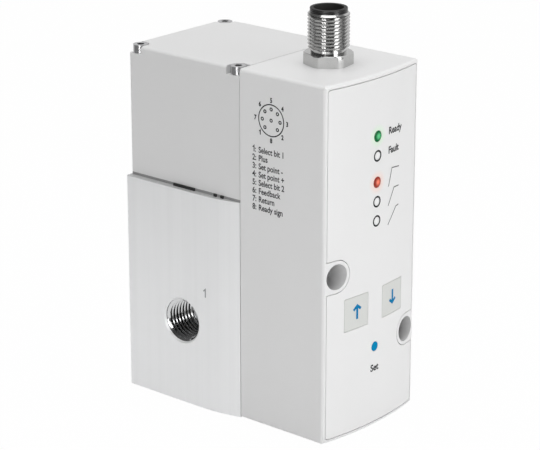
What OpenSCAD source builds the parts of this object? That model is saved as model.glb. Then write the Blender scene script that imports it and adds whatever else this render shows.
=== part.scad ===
// Electro-pneumatic pressure regulator.
// A ported aluminium block holds the diaphragm valve, a moulded cover on top of it holds the two
// pilot valves, and a bowed housing in front holds the control board, its keys and a round connector.
// Millimetres. +Z is up, -Y is the front, and the origin lies under the middle of the part.

/* [Front housing] */
// Width of the front housing and of the pilot cover
body_w = 42; // [41.4:0.2:46]
// Height of the front housing and of the pilot cover
body_h = 106.2; // [105:0.2:112]
// Depth of the front housing along its side faces
housing_d = 30.8; // [30:0.2:36]
// Radius of the bowed front
front_r = 100; // [80:5:160]
// Wall thickness of the plastic mouldings
wall = 2.2; // [2:0.1:2.6]
// Radius of the moulded outer edges
edge_r = 1; // [0.4:0.1:1.2]
// Parting gap between the front housing and the parts behind it
seam_gap = 0.2; // [0.1:0.05:0.3]

/* [Valve block] */
// Depth of the aluminium block
block_d = 43.2; // [42:0.2:48]
// Height of the aluminium block
block_h = 66.6; // [65:0.2:70]
// How far each side of the block stands out past the mouldings
block_side = 2.1; // [1:0.1:4]
// Length of the curved front part of the block's sides
block_sweep = 14; // [8:0.5:18]
// Radius of the block's rear vertical edges
block_edge_r = 0.6; // [0.3:0.1:1.5]

/* [Ports] */
// Height of the supply port, on the left side
port_z = 25.8; // [24:0.2:27]
// Height of the outlet port, on the right
outlet_z = 48.6; // [47:0.2:50]
// Major diameter of the port threads
port_dia = 13.16; // [9.73:0.01:14]
// Depth of the port threads
port_depth = 11.5; // [9:0.5:12]
// Width of the countersink at each port
port_lead = 0.5; // [0.2:0.1:0.9]
// Diameter of the drillings from the ports to the valve
passage_dia = 9; // [5:0.5:10]

/* [Mounting holes] */
// Distance from the housing's sides to each mounting hole
mount_in = 4.9; // [4.4:0.1:5.6]
// Height of the lower mounting hole, on the right
mount_low_z = 25.2; // [23:0.2:26]
// Height of the upper mounting hole, on the left
mount_high_z = 50.2; // [49:0.2:52]
// Diameter of the mounting holes
mount_dia = 4.5; // [3.4:0.1:4.8]
// Diameter of the wells for the screw heads
well_dia = 7.6; // [7:0.1:8]
// Depth of the wells below the bowed front
well_depth = 5.4; // [3:0.1:9]
// Outside diameter of the metal sleeves that the screw heads seat on
sleeve_dia = 6.2; // [5.8:0.1:6.4]
// Radius of the bosses around the mounting holes
boss_r = 4.8; // [4.4:0.1:5.2]

/* [Front panel] */
// Thickness of the bowed panel
panel_t = 1.6; // [1:0.1:2]
// Width of the housing's rim around the panel
rim = 1.3; // [1:0.1:1.6]
// Gap around the panel
panel_gap = 0.2; // [0.1:0.05:0.3]
// Corner radius of the panel
panel_corner_r = 0.8; // [0.4:0.1:2]
// Side of the square keys
key_size = 10; // [7:0.5:11]
// Distance from the middle plane to each square key
key_x = 8.2; // [7.5:0.1:8.6]
// Height of the square keys
key_z = 37.6; // [36.4:0.2:38]
// Diameter of the round key
round_key_dia = 3; // [2:0.2:5]
// Height of the round key
round_key_z = 24.8; // [20:0.1:25]
// Gap around the keys
key_gap = 0.12; // [0.08:0.02:0.2]
// Travel of the keys
key_travel = 0.5; // [0.2:0.1:0.6]
// Diameter of the lamp windows
led_dia = 3.4; // [2:0.1:4]
// Distance from the housing's top to the topmost lamp
led_drop = 18.1; // [16:0.1:21]
// Spacing of the lamps within a group
led_pitch = 5.75; // [5.4:0.05:6.2]
// Spacing between the two groups of lamps
led_group_pitch = 7.8; // [6:0.05:9]

/* [Connector] */
// Sideways offset of the connector
connector_x = 0; // [-1:0.1:2]
// Distance of the connector behind the front corners
connector_in = 15.9; // [15.8:0.1:18]
// Outside diameter of the connector's thread
connector_dia = 12; // [12:0.1:13]
// Length of the connector's thread
connector_thread_l = 11.6; // [8:0.1:14]
// Width of the connector's hexagon across flats
connector_hex = 13; // [13:0.1:15]
// Height of the connector's hexagon
connector_hex_h = 3.4; // [2:0.1:5]
// Height of the insulator's rim above the thread
connector_rim_h = 1.2; // [0.6:0.1:2]
// Turn of the hexagon about its axis
connector_turn = 14; // [0:1:59]

/* [Main valve] */
// Diameter of the supply and outlet chambers
chamber_dia = 20; // [19:0.2:21]
// Diameter of the valve seat
seat_dia = 13; // [12:0.2:13.4]
// Diameter of the poppet's hollow stem
stem_dia = 8; // [7:0.1:8.4]
// Diameter of the exhaust channel in the stem
exhaust_dia = 5; // [3:0.2:5.6]
// Diameter of the plug that closes the block from below
plug_dia = 22; // [21.6:0.1:23]
// Height of the plug in the block
plug_h = 14; // [13:0.2:15]
// Opening stroke of the poppet
poppet_stroke = 1.5; // [0.5:0.1:2]
// Lift of the tappet off the poppet
tappet_lift = 1.2; // [0.5:0.1:1.5]

/* [Diaphragm and pilot valves] */
// Diameter of the pressure chambers at the diaphragm
diaphragm_dia = 28; // [26:0.2:29]
// Outside diameter of the diaphragm and the pilot plate
plate_dia = 36.8; // [36.4:0.1:37.2]
// Thickness of the diaphragm
diaphragm_t = 0.8; // [0.5:0.1:1.2]
// Thickness of the pilot plate
plate_t = 10; // [9.6:0.2:11]
// Sideways spacing of the pilot valves
pilot_pitch = 12.4; // [12:0.2:13]
// Stroke of the pilot armatures
armature_stroke = 0.4; // [0.2:0.05:0.5]

/* [Cover] */
// Thickness of the gasket under the cover
gasket_t = 0.8; // [0.2:0.1:1]
// Side of the square notches at the cover's corners
notch_w = 5; // [4.9:0.1:5.6]
// Depth of the notches
notch_d = 2.5; // [2.5:0.1:4]
// Distance from the cover's sides to its screws
screw_in = 2.5; // [2.3:0.1:2.6]

/* [Hidden] */

$fn = 64;
bow_fn = 256;
// Overshoot of cutting tools
cut = 1;
// Sliding and screw clearance on a radius
slip = 0.05;

// Planes from front to back
front_rise = front_r - sqrt(pow(front_r, 2) - pow(body_w / 2, 2));
total_d = front_rise + housing_d + block_d;
front_y = -total_d / 2;
corner_y = front_y + front_rise;
seam_y = corner_y + housing_d;
rear_y = seam_y + seam_gap;
back_y = total_d / 2;
axis_y = seam_y + block_d / 2;
front_c = front_y + front_r;

// Centre of the fillet between a side and the bow, and the ray through it
corner_c = [
    body_w / 2 - edge_r,
    front_c - sqrt(pow(front_r - edge_r, 2) - pow(body_w / 2 - edge_r, 2))
];
corner_ray = (corner_c - [0, front_c]) / (front_r - edge_r);
corner_far = [0, front_c] + corner_ray * (front_r + 2 * edge_r);

// Valve block
block_w = body_w + 2 * block_side;
sweep_r = (pow(block_sweep, 2) + pow(block_side, 2)) / (2 * block_side);
mount_x = body_w / 2 - mount_in;
well_y = front_c - sqrt(pow(front_r, 2) - pow(mount_x, 2)) + well_depth;

// Main valve, from the seat outwards
seat_z = (port_z + outlet_z) / 2;
web_t = 3.5;
lip_h = 0.6;
lip_w = 0.8;
lip_z = seat_z - web_t / 2 - lip_h;
head_t = 3.6;
head_r = 8.5;
head_z = lip_z - head_t;
seal_t = 1.6;
seal_lap = 1.3;
seal_edge = 0.4;
seal_in_r = seat_dia / 2 - seal_lap;
seal_out_r = head_r - seal_edge;
relief_up = 4.8;
relief_z = seat_z + relief_up;
plug_recess = 0.4;
guide_r = 6.3;
guide_h = 4.5;
guide_z = plug_h + guide_h;
stem_end_z = plug_h - poppet_stroke - slip;
o_ring_r = 0.7;
o_ring_groove = 1.6;
spring_wire_r = 0.55;
spring_r = 7.7;

// Tappet and diaphragm stack
relief_lap = 0.3;
relief_seal_r = stem_dia / 2 + relief_lap;
relief_seal_t = 1.4;
relief_proud = 0.5;
tappet_head_wall = 1.2;
tappet_head_r = relief_seal_r + tappet_head_wall;
tappet_head_t = 3;
tappet_r = 3;
tappet_shoulder_r = 4;
tappet_thread_r = 2;
tappet_nut_af = 7;
tappet_nut_h = 3.2;
tappet_end = 0.4;
lower_plate_t = 2;
upper_plate_t = 1.6;
disc_gap = 3;
disc_r = diaphragm_dia / 2 - disc_gap;
recess_d = 5;
recess_gap = 0.6;
pilot_recess_d = tappet_nut_h + upper_plate_t + tappet_end + tappet_lift + recess_gap;
convolution_r = 1.1;
rim_z = block_h + diaphragm_t;
plate_z = rim_z + plate_t;
plate_gap = 0.3;
plate_screw_pitch_r = (diaphragm_dia + plate_dia) / 4;
pilot_feed_r = 0.8;
pilot_feed_low = [chamber_dia / 2, port_z];

// Pilot valves
pilot_back = 3.5;
pilot_y = axis_y + pilot_back;
pilot_base = [11.6, 15, 4];
pilot_base_z = plate_z + pilot_base.z;
pilot_pocket_r = 2.6;
pilot_pocket_d = 2;
nozzle_r = 1.1;
nozzle_h = 0.8;
nozzle_bore_r = 0.4;
nozzle_z = pilot_base_z - pilot_pocket_d + nozzle_h;
coil_r = 4.6;
coil_flange_r = 5.1;
coil_flange_t = 1;
frame_t = 1.2;
frame_w = 8;
frame_gap = 0.1;
pilot_head_gap = 1.5;
frame_z = body_h - wall - pilot_head_gap - 2 * frame_t;
coil_h = frame_z - pilot_base_z;
armature_r = 2;
armature_foot = 1.2;
armature_l = coil_h / 2 + armature_foot;
armature_pocket_r = 1.2;
armature_pocket_d = 2.5;
core_gap = 0.1;
core_z = nozzle_z + armature_l + armature_stroke + core_gap;
armature_spring_r = 0.85;
armature_wire_r = 0.14;

// Sensors and their board
sensor_x = 6;
sensor_edge = 8.4;
sensor_in = plate_dia / 2 - sensor_edge;
sensor_r = 3.5;
sensor_h = 4.6;
sensor_nozzle_r = 1;
sensor_nozzle_h = 3;
sensor_board_size = [24, 11, 1.6];
sensor_board_z = plate_z + sensor_h;
ribbon_x = -8;
ribbon_w = 8;
ribbon_t = 0.5;
ribbon_z = sensor_board_z + sensor_board_size.z;
ribbon_lap = 6;
window_size = [12, 8];
window_z = ribbon_z + ribbon_t / 2;
window_seal_w = 2.2;
window_seal_t = 1;

// Front panel and what sits behind it
panel_w = body_w - 2 * rim;
panel_h = body_h - 2 * rim;
key_xs = [-key_x, key_x];
led_top_z = body_h - led_drop;
led_zs = [
    led_top_z,
    led_top_z - led_pitch,
    led_top_z - led_pitch - led_group_pitch,
    led_top_z - 2 * led_pitch - led_group_pitch,
    led_top_z - 3 * led_pitch - led_group_pitch
];
board_t = 1.6;
board_in = 7;
board_y = front_y + panel_t + board_in;
board_back_y = board_y + board_t;
board_edge_gap = 1;
board_w = body_w - 2 * wall - board_edge_gap;
board_z0 = wall + board_edge_gap;
board_z1 = body_h - wall - board_edge_gap;
post_in = 4.5;
post_x = body_w / 2 - wall - post_in;
post_r = 3;
post_zs = [board_z0 + post_in, board_z1 - post_in];
post_hole_r = 1;
board_screw_l = 7;
key_flange_w = 0.8;
key_flange_t = 0.8;
key_flange_gap = 0.1;
key_stem_r = 1.6;
key_corner_r = 0.4;
switch_w = 6;
switch_h = 3.2;
plunger_r = 1.5;
plunger_up = 0.9;
plunger_in = 1;
lens_flange_w = 0.6;
lens_flange_t = 0.8;
lens_inset = 0.08;
chip = [2, 1, 1.2];
chip_gap = 0.2;
lens_end_y = board_y - chip.y - chip_gap;

// Connector, from the housing's top
connector_y = corner_y + connector_in;
hex_top_z = body_h + connector_hex_h;
thread_top_z = hex_top_z + connector_thread_l;
connector_top_z = thread_top_z + connector_rim_h;
shell_wall = 1.1;
shell_bore_r = connector_dia / 2 - shell_wall;
tail_step = 0.1;
shell_tail_r = connector_dia / 2 - tail_step;
tail_in = 4.6;
shell_tail_l = wall + tail_in;
undercut_h = 0.8;
undercut_d = 0.6;
thread_lead = 0.5;
collar_step = 0.7;
insert_collar_r = connector_dia / 2 - collar_step;
insert_wall = 0.55;
insert_socket_d = 9;
insert_drop = 8;
insert_bottom_z = body_h - insert_drop;
insert_key = [1, 0.7];
pin_r = 0.4;
pin_circle_r = 2.75;
pin_count = 7;
pin_up = 6.5;
pin_tail = 3;
nut_land = 3;
nut_af = connector_dia + nut_land;
nut_h = 2.8;
washer_t = 0.8;
washer_land = 1.8;
washer_r = connector_dia / 2 + washer_land;
lead_w = 7;
lead_t = 1.2;
lead_bend_r = 2.5;
lead_drop = 4.5;
lead_z = insert_bottom_z - pin_tail - lead_drop;

// Headers and parts on the back of the control board
header = [10, 6, 4];
header_z = window_z;
lead_header = [9, 4, 4];
processor = [10, 1.4, 10];
processor_z = 66;
capacitor_r = 3.2;
capacitor_l = 8;
capacitor_z = 36;
capacitor_x = 5;

// Fasteners: head radius, head height, socket width, shank radius
m25 = [2.25, 2.5, 2, 1.25];
m3 = [2.75, 3, 2.5, 1.5];
m2 = [1.9, 1.3, 1.5, 0.95];
thread_in = 8;
housing_screw_x = 8;
housing_screw_low = 14;
housing_screw_drop = 7;
housing_screw_zs = [housing_screw_low, block_h - housing_screw_drop];
screw_play = 0.2;
housing_screw_hole_r = m3[3] + screw_play;

// Cover
cover_z = block_h + gasket_t;
cover_screw_x = body_w / 2 - screw_in;
cover_screw_ys = [rear_y + screw_in, back_y - screw_in];
notch_r = notch_w / 2;
tab_reach = 0.5;
tabs = [[6.1, 7.1], [8.7, 9.7], [17.2, 25.5]];

// Solid between two planes across Y, from an outline in X and Z
module prism_y(y0, y1) {
    translate([0, y1, 0]) rotate([90, 0, 0]) linear_extrude(y1 - y0) children();
}

// Solid between two planes across X, from an outline in Y and Z
module prism_x(x0, x1) {
    translate([x0, 0, 0]) rotate([90, 0, 90]) linear_extrude(x1 - x0) children();
}

module rod_x(r, x0, x1) {
    translate([x0, 0, 0]) rotate([0, 90, 0]) cylinder(r = r, h = x1 - x0);
}

module rod_y(r, y0, y1) {
    translate([0, y0, 0]) rotate([-90, 0, 0]) cylinder(r = r, h = y1 - y0);
}

// Upright cylinder between two heights
module cylinder_at(z0, z1, r) {
    translate([0, 0, z0]) cylinder(r = r, h = z1 - z0);
}

module rounded_square(w, h, r) {
    square([w - 2 * r, h], center = true);
    square([w, h - 2 * r], center = true);
    for (x = [-1, 1], y = [-1, 1]) translate([x * (w / 2 - r), y * (h / 2 - r)]) circle(r = r);
}

// Box with its middle on the axis in X and Y, standing on z = 0
module block_on(size) {
    translate([-size.x / 2, -size.y / 2, 0]) cube(size);
}

module hexagon(af, h) {
    cylinder(r = af / sqrt(3), h = h, $fn = 6);
}

// Ring with a round section, in the plane z = 0
module o_ring(mean_r, section_r) {
    rotate_extrude() translate([mean_r, 0]) circle(r = section_r, $fn = 24);
}

// Cap screw whose head stands on z = 0 and whose shank hangs below it
module cap_screw(size, length) {
    difference() {
        union() {
            cylinder(r = size[0], h = size[1]);
            translate([0, 0, -length]) cylinder(r = size[3], h = length + cut);
        }
        translate([0, 0, size[1] / 2]) hexagon(size[2], size[1]);
    }
}

// Coil spring standing on z = 0, with flat end turns
function spring_height(t, turns, flat) = max(0, min(t - flat, turns - 2 * flat)) / (turns - 2 * flat);
module coil_spring(mean_r, wire_r, height, turns, per_turn, sides) {
    flat = 0.6;
    rings = round(turns * per_turn);
    points = [
        for (i = [0:rings], j = [0:sides - 1])
            let (
                turn = 360 * i / per_turn,
                around = 360 * j / sides,
                r = mean_r + wire_r * cos(around),
                rise = (height - 2 * wire_r) * spring_height(i / per_turn, turns, flat)
            )
            [r * cos(turn), r * sin(turn), wire_r + rise + wire_r * sin(around)]
    ];
    walls = [
        for (i = [0:rings - 1], j = [0:sides - 1])
            let (a = i * sides, b = a + sides, k = (j + 1) % sides)
            [a + j, a + k, b + k, b + j]
    ];
    first_end = [for (j = [sides - 1:-1:0]) j];
    last_end = [for (j = [0:sides - 1]) rings * sides + j];
    polyhedron(points, concat([first_end], walls, [last_end]), convexity = 8);
}

// Everything between two distances behind the bowed front
module behind_bow(outer, inner) {
    translate([0, front_c, -cut]) difference() {
        cylinder(r = front_r - outer, h = body_h + 2 * cut, $fn = bow_fn);
        cylinder(r = front_r - inner, h = body_h + 2 * cut, $fn = bow_fn);
    }
}

// Plate of one outline in X and Z that follows the bow
module bowed_plate(outer, inner) {
    intersection() {
        behind_bow(outer, inner);
        prism_y(front_y - cut, corner_y + inner + cut) children();
    }
}

// Front housing

module corner_cut() {
    difference() {
        polygon([corner_c, [body_w, corner_c.y], [body_w, corner_far.y], corner_far]);
        translate(corner_c) circle(r = edge_r);
    }
}

// The housing seen from above
module housing_plan() {
    difference() {
        intersection() {
            translate([-body_w / 2, front_y]) square([body_w, seam_y - front_y]);
            translate([0, front_c]) circle(r = front_r, $fn = bow_fn);
        }
        corner_cut();
        mirror([1, 0]) corner_cut();
    }
}

// Half section of the barrel that rounds the bowed face into the top and bottom
module barrel_half() {
    square([front_r - edge_r, body_h]);
    translate([0, edge_r]) square([front_r, body_h - 2 * edge_r]);
    for (z = [edge_r, body_h - edge_r]) translate([front_r - edge_r, z]) circle(r = edge_r);
}

module housing_outer() {
    intersection() {
        linear_extrude(body_h) housing_plan();
        prism_y(front_y, seam_y) translate([0, body_h / 2]) rounded_square(body_w, body_h, edge_r);
        translate([0, front_c, 0]) rotate_extrude($fn = bow_fn) barrel_half();
    }
}

// Outline of a mounting boss: round towards the middle, square towards its side of the housing
module boss_outline(side, z, grow) {
    r = boss_r + grow;
    reach = body_w / 2 - mount_x + cut;
    translate([side * mount_x, z]) circle(r = r);
    translate([side > 0 ? mount_x : -mount_x - reach, z - r]) square([reach, 2 * r]);
}

module boss_outlines(grow) {
    boss_outline(-1, mount_high_z, grow);
    boss_outline(1, mount_low_z, grow);
}

module panel_outline(grow) {
    translate([0, body_h / 2])
        rounded_square(panel_w + 2 * grow, panel_h + 2 * grow, panel_corner_r + grow);
}

module at_mounts() {
    translate([-mount_x, 0, mount_high_z]) children();
    translate([mount_x, 0, mount_low_z]) children();
}

module at_posts() {
    for (x = [-post_x, post_x], z = post_zs) translate([x, 0, z]) children();
}

module at_housing_screws() {
    for (x = [-housing_screw_x, housing_screw_x], z = housing_screw_zs) translate([x, 0, z]) children();
}

module window_outline(grow) {
    translate([ribbon_x, window_z])
        square([window_size.x + 2 * grow, window_size.y + 2 * grow], center = true);
}

module front_housing() color("gainsboro") {
    inner_y = seam_y - wall;
    difference() {
        union() {
            difference() {
                housing_outer();
                translate([-body_w / 2 + wall, front_y - cut, wall])
                    cube([body_w - 2 * wall, inner_y - front_y + cut, body_h - 2 * wall]);
                bowed_plate(-cut, panel_t) difference() {
                    panel_outline(panel_gap);
                    boss_outlines(0);
                }
            }
            intersection() {
                housing_outer();
                prism_y(front_y, seam_y) boss_outlines(0);
            }
            at_posts() rod_y(post_r, board_back_y, inner_y + wall / 2);
        }
        at_mounts() rod_y(well_dia / 2, front_y - cut, well_y);
        at_mounts() rod_y(sleeve_dia / 2 + slip, well_y - cut, seam_y + cut);
        at_posts() rod_y(post_hole_r, board_back_y - cut, board_back_y + board_screw_l);
        at_housing_screws() rod_y(housing_screw_hole_r, inner_y - cut, seam_y + cut);
        prism_y(inner_y - cut, seam_y + cut) window_outline(0);
        translate([connector_x, connector_y, body_h - wall - cut])
            cylinder(r = connector_dia / 2 + slip, h = wall + 2 * cut);
    }
}

// Sleeves that carry the clamping force of the mounting screws past the plastic to the block
module mounting_sleeves() color("silver") at_mounts() difference() {
    rod_y(sleeve_dia / 2, well_y, rear_y);
    rod_y(mount_dia / 2, well_y - cut, rear_y + cut);
}

module housing_screws() color("silver") {
    at_housing_screws() translate([0, seam_y - wall, 0]) rotate([90, 0, 0])
        cap_screw(m3, wall + seam_gap + thread_in - cut);
}

// Front panel, keys and lamps

module square_key_outline(side, grow) {
    size = key_size + 2 * grow;
    translate([side * key_x, key_z]) rounded_square(size, size, key_corner_r);
}

module round_key_outline(grow) {
    translate([0, round_key_z]) circle(r = round_key_dia / 2 + grow);
}

module front_panel() color("whitesmoke") {
    bowed_plate(0, panel_t) difference() {
        panel_outline(0);
        boss_outlines(panel_gap);
        for (z = led_zs) translate([0, z]) circle(r = led_dia / 2);
        for (side = [-1, 1]) square_key_outline(side, 0);
        round_key_outline(0);
    }
}

// Where the switch plungers start, so that the key stems rest on them
plunger_top_y = board_y - switch_h - plunger_up;

module key_stem(x, z) {
    translate([x, 0, z]) rod_y(key_stem_r, front_y, plunger_top_y);
}

// A key's cap with the flange that stops it behind the panel, and the stem down to its plunger
module key_on_stem(x, z) {
    flange = panel_t + key_flange_gap;
    bowed_plate(0, flange + key_flange_t) children(0);
    bowed_plate(flange, flange + key_flange_t) children(1);
    difference() {
        key_stem(x, z);
        behind_bow(-cut, flange + key_flange_t / 2);
    }
}

module square_key(side) {
    key_on_stem(side * key_x, key_z) {
        square_key_outline(side, -key_gap);
        square_key_outline(side, key_flange_w);
    }
}

module up_button() color("lightgray") square_key(-1);

module down_button() color("lightgray") square_key(1);

module edit_button() color("dodgerblue") {
    key_on_stem(0, round_key_z) {
        round_key_outline(-key_gap);
        round_key_outline(key_flange_w);
    }
}

module switch_plunger(x, z) color("black") {
    translate([x, 0, z]) rod_y(plunger_r, plunger_top_y, board_y - switch_h + plunger_in);
}

module up_switch_plunger() switch_plunger(-key_x, key_z);

module down_switch_plunger() switch_plunger(key_x, key_z);

module edit_switch_plunger() switch_plunger(0, round_key_z);

module key_switch(x, z) {
    front_face = board_y - switch_h;
    difference() {
        translate([x - switch_w / 2, front_face, z - switch_w / 2])
            cube([switch_w, switch_h, switch_w]);
        translate([x, 0, z])
            rod_y(plunger_r + slip, front_face - cut, front_face + plunger_in + key_travel + slip);
    }
}

module key_switches() color("dimgray") {
    for (x = key_xs) key_switch(x, key_z);
    key_switch(0, round_key_z);
}

// Light guide from a lamp's window back to its chip
module lamp_lens(index) {
    outline_r = led_dia / 2 - slip;
    flange_y = front_y + panel_t;
    difference() {
        translate([0, 0, led_zs[index]]) rod_y(outline_r, front_y, lens_end_y);
        behind_bow(-cut, lens_inset);
    }
    difference() {
        translate([0, 0, led_zs[index]])
            rod_y(outline_r + lens_flange_w, flange_y, flange_y + lens_flange_t);
        behind_bow(-cut, panel_t + slip);
    }
}

module power_lamp_lens() color("limegreen") lamp_lens(0);

module error_lamp_lens() color("white") lamp_lens(1);

module fast_lamp_lens() color("tomato") lamp_lens(2);

module medium_lamp_lens() color("white") lamp_lens(3);

module slow_lamp_lens() color("white") lamp_lens(4);

module lamp_chips() color("khaki") {
    for (z = led_zs) translate([-chip.x / 2, board_y - chip.y, z - chip.z / 2]) cube(chip);
}

// Control board

module control_board() color("darkgreen") {
    prism_y(board_y, board_back_y) difference() {
        translate([-board_w / 2, board_z0]) square([board_w, board_z1 - board_z0]);
        boss_outlines(2 * panel_gap);
        for (x = [-post_x, post_x], z = post_zs) translate([x, z]) circle(r = m2[3] + slip);
    }
}

module board_components() color("darkslategray") {
    translate([ribbon_x - header.x / 2, board_back_y, header_z - header.z / 2]) cube(header);
    translate([connector_x - lead_header.x / 2, board_back_y, lead_z - lead_header.z / 2])
        cube(lead_header);
    translate([-processor.x / 2, board_back_y, processor_z - processor.z / 2]) cube(processor);
    for (x = [-capacitor_x, capacitor_x])
        translate([x, 0, capacitor_z]) rod_y(capacitor_r, board_back_y, board_back_y + capacitor_l);
}

module board_screws() color("silver") {
    at_posts() translate([0, board_y, 0]) rotate([90, 0, 0])
        cap_screw(m2, board_t + board_screw_l - cut);
}

// Connector

module at_connector(z) {
    translate([connector_x, connector_y, z]) children();
}

module connector_shell() color("silver") at_connector(0) {
    thread_r = connector_dia / 2;
    difference() {
        union() {
            translate([0, 0, body_h]) intersection() {
                rotate([0, 0, connector_turn]) hexagon(connector_hex, connector_hex_h);
                hex_chamfer();
            }
            translate([0, 0, hex_top_z - cut]) cylinder(r = thread_r - undercut_d, h = undercut_h + 2 * cut);
            translate([0, 0, hex_top_z + undercut_h])
                cylinder(r = thread_r, h = connector_thread_l - undercut_h - thread_lead);
            translate([0, 0, thread_top_z - thread_lead])
                cylinder(r1 = thread_r, r2 = thread_r - thread_lead, h = thread_lead);
            translate([0, 0, body_h - shell_tail_l]) cylinder(r = shell_tail_r, h = shell_tail_l + cut);
        }
        translate([0, 0, insert_bottom_z - cut])
            cylinder(r = shell_bore_r, h = connector_top_z - insert_bottom_z);
    }
}

// Cone that bevels the hexagon's upper corners
module hex_chamfer() {
    corner_r = connector_hex / sqrt(3);
    bevel_h = (corner_r - connector_hex / 2) * tan(30);
    cylinder(r = corner_r + slip, h = connector_hex_h - bevel_h);
    translate([0, 0, connector_hex_h - bevel_h])
        cylinder(r1 = corner_r, r2 = connector_hex / 2, h = bevel_h);
}

module connector_insert() color("black") at_connector(0) {
    tube_r = shell_bore_r - slip;
    socket_r = tube_r - insert_wall;
    socket_z = connector_top_z - insert_socket_d;
    difference() {
        union() {
            cylinder_at(insert_bottom_z, thread_top_z + slip, tube_r);
            translate([0, 0, thread_top_z]) cylinder(r = insert_collar_r, h = connector_rim_h);
        }
        difference() {
            translate([0, 0, socket_z]) cylinder(r = socket_r, h = insert_socket_d + cut);
            translate([-insert_key.x / 2, -socket_r - cut, socket_z])
                cube([insert_key.x, insert_key.y + cut, insert_socket_d - connector_rim_h]);
        }
        at_pins() cylinder_at(insert_bottom_z - cut, socket_z + cut, pin_r);
    }
}

module at_pins() {
    children();
    for (i = [0:pin_count - 1])
        rotate([0, 0, 90 + 360 * i / pin_count]) translate([pin_circle_r, 0, 0]) children();
}

module connector_pins() color("gold") at_connector(0) {
    socket_z = connector_top_z - insert_socket_d;
    at_pins() translate([0, 0, insert_bottom_z - pin_tail])
        cylinder(r = pin_r - slip / 5, h = socket_z + pin_up - insert_bottom_z + pin_tail, $fn = 24);
}

module connector_seal() color("black") at_connector(body_h - wall - washer_t) difference() {
    cylinder(r = washer_r, h = washer_t);
    translate([0, 0, -cut]) cylinder(r = shell_tail_r + slip, h = washer_t + 2 * cut);
}

module connector_nut() color("silver") at_connector(body_h - wall - washer_t - nut_h) difference() {
    hexagon(nut_af, nut_h);
    translate([0, 0, -cut]) cylinder(r = shell_tail_r + slip, h = nut_h + 2 * cut);
}

// Flat lead from the connector's tails down and forward to its header
module connector_lead() color("black") {
    top_z = insert_bottom_z - pin_tail;
    bend_y = connector_y - lead_bend_r;
    bend_z = lead_z + lead_bend_r;
    translate([connector_x, 0, 0]) prism_x(-lead_w / 2, lead_w / 2) {
        translate([connector_y - lead_t / 2, bend_z]) square([lead_t, top_z - bend_z]);
        translate([bend_y, bend_z]) intersection() {
            difference() {
                circle(r = lead_bend_r + lead_t / 2);
                circle(r = lead_bend_r - lead_t / 2);
            }
            translate([0, -2 * lead_bend_r]) square(2 * lead_bend_r);
        }
        header_end = board_back_y + lead_header.y;
        translate([header_end, lead_z - lead_t / 2]) square([bend_y - header_end, lead_t]);
    }
}

// Valve block and main valve

module block_outline() {
    sweep_y = seam_y + block_sweep;
    straight = back_y - sweep_y;
    intersection() {
        translate([-block_w / 2, rear_y]) square([block_w, sweep_y - rear_y]);
        translate([block_w / 2 - sweep_r, sweep_y]) circle(r = sweep_r, $fn = bow_fn);
        translate([sweep_r - block_w / 2, sweep_y]) circle(r = sweep_r, $fn = bow_fn);
    }
    translate([-block_w / 2, sweep_y]) square([block_w, straight - block_edge_r]);
    translate([0, back_y - straight / 2]) rounded_square(block_w, straight, block_edge_r);
}

module on_axis(z) {
    translate([0, axis_y, z]) children();
}

// Threaded port along +X from the block's side, with its countersink and drilling
module port_cut() {
    face_x = block_w / 2;
    thread_r = port_dia / 2;
    rod_x(thread_r, face_x - port_depth, face_x + cut);
    translate([face_x - port_lead, 0, 0]) rotate([0, 90, 0])
        cylinder(r1 = thread_r, r2 = thread_r + port_lead + cut, h = port_lead + cut);
    rod_x(passage_dia / 2, 0, face_x);
}

module at_plate_screws() {
    for (angle = [0:90:270])
        on_axis(0) rotate([0, 0, angle]) translate([plate_screw_pitch_r, 0, 0]) children();
}

module at_cover_screws() {
    for (x = [-cover_screw_x, cover_screw_x], y = cover_screw_ys) translate([x, y, 0]) children();
}

// Slanted drilling that brings supply air up to the pilot plate
module pilot_feed() {
    top = [plate_screw_pitch_r, block_h];
    lean = atan2(top.x - pilot_feed_low.x, top.y - pilot_feed_low.y);
    length = norm(top - pilot_feed_low);
    on_axis(0) rotate([0, 0, 135]) translate([pilot_feed_low.x, 0, pilot_feed_low.y])
        rotate([0, lean, 0]) cylinder(r = pilot_feed_r, h = length + cut);
}

module valve_block() color("silver") {
    chamber_r = chamber_dia / 2;
    web_z = seat_z - web_t / 2;
    difference() {
        linear_extrude(block_h) block_outline();
        on_axis(-cut) cylinder(r = plug_dia / 2, h = plug_h + cut);
        on_axis(0) difference() {
            cylinder(r = chamber_r, h = web_z);
            translate([0, 0, lip_z]) difference() {
                cylinder(r = seat_dia / 2 + lip_w, h = lip_h + cut);
                translate([0, 0, -cut]) cylinder(r = seat_dia / 2, h = lip_h + 3 * cut);
            }
        }
        on_axis(web_z - cut) cylinder(r = seat_dia / 2, h = web_t + 2 * cut);
        on_axis(web_z + web_t) cylinder(r = chamber_r, h = block_h);
        on_axis(block_h - recess_d) cylinder(r = diaphragm_dia / 2, h = recess_d + cut);
        on_axis(port_z) mirror([1, 0, 0]) port_cut();
        on_axis(outlet_z) port_cut();
        at_mounts() rod_y(mount_dia / 2, rear_y - cut, back_y + cut);
        at_plate_screws() cylinder_at(block_h - thread_in, block_h + cut, m25[3] + slip);
        at_cover_screws() cylinder_at(block_h - thread_in, block_h + cut, m25[3] + slip);
        at_housing_screws() rod_y(m3[3] + slip, rear_y - cut, rear_y + thread_in);
        pilot_feed();
    }
}

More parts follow.
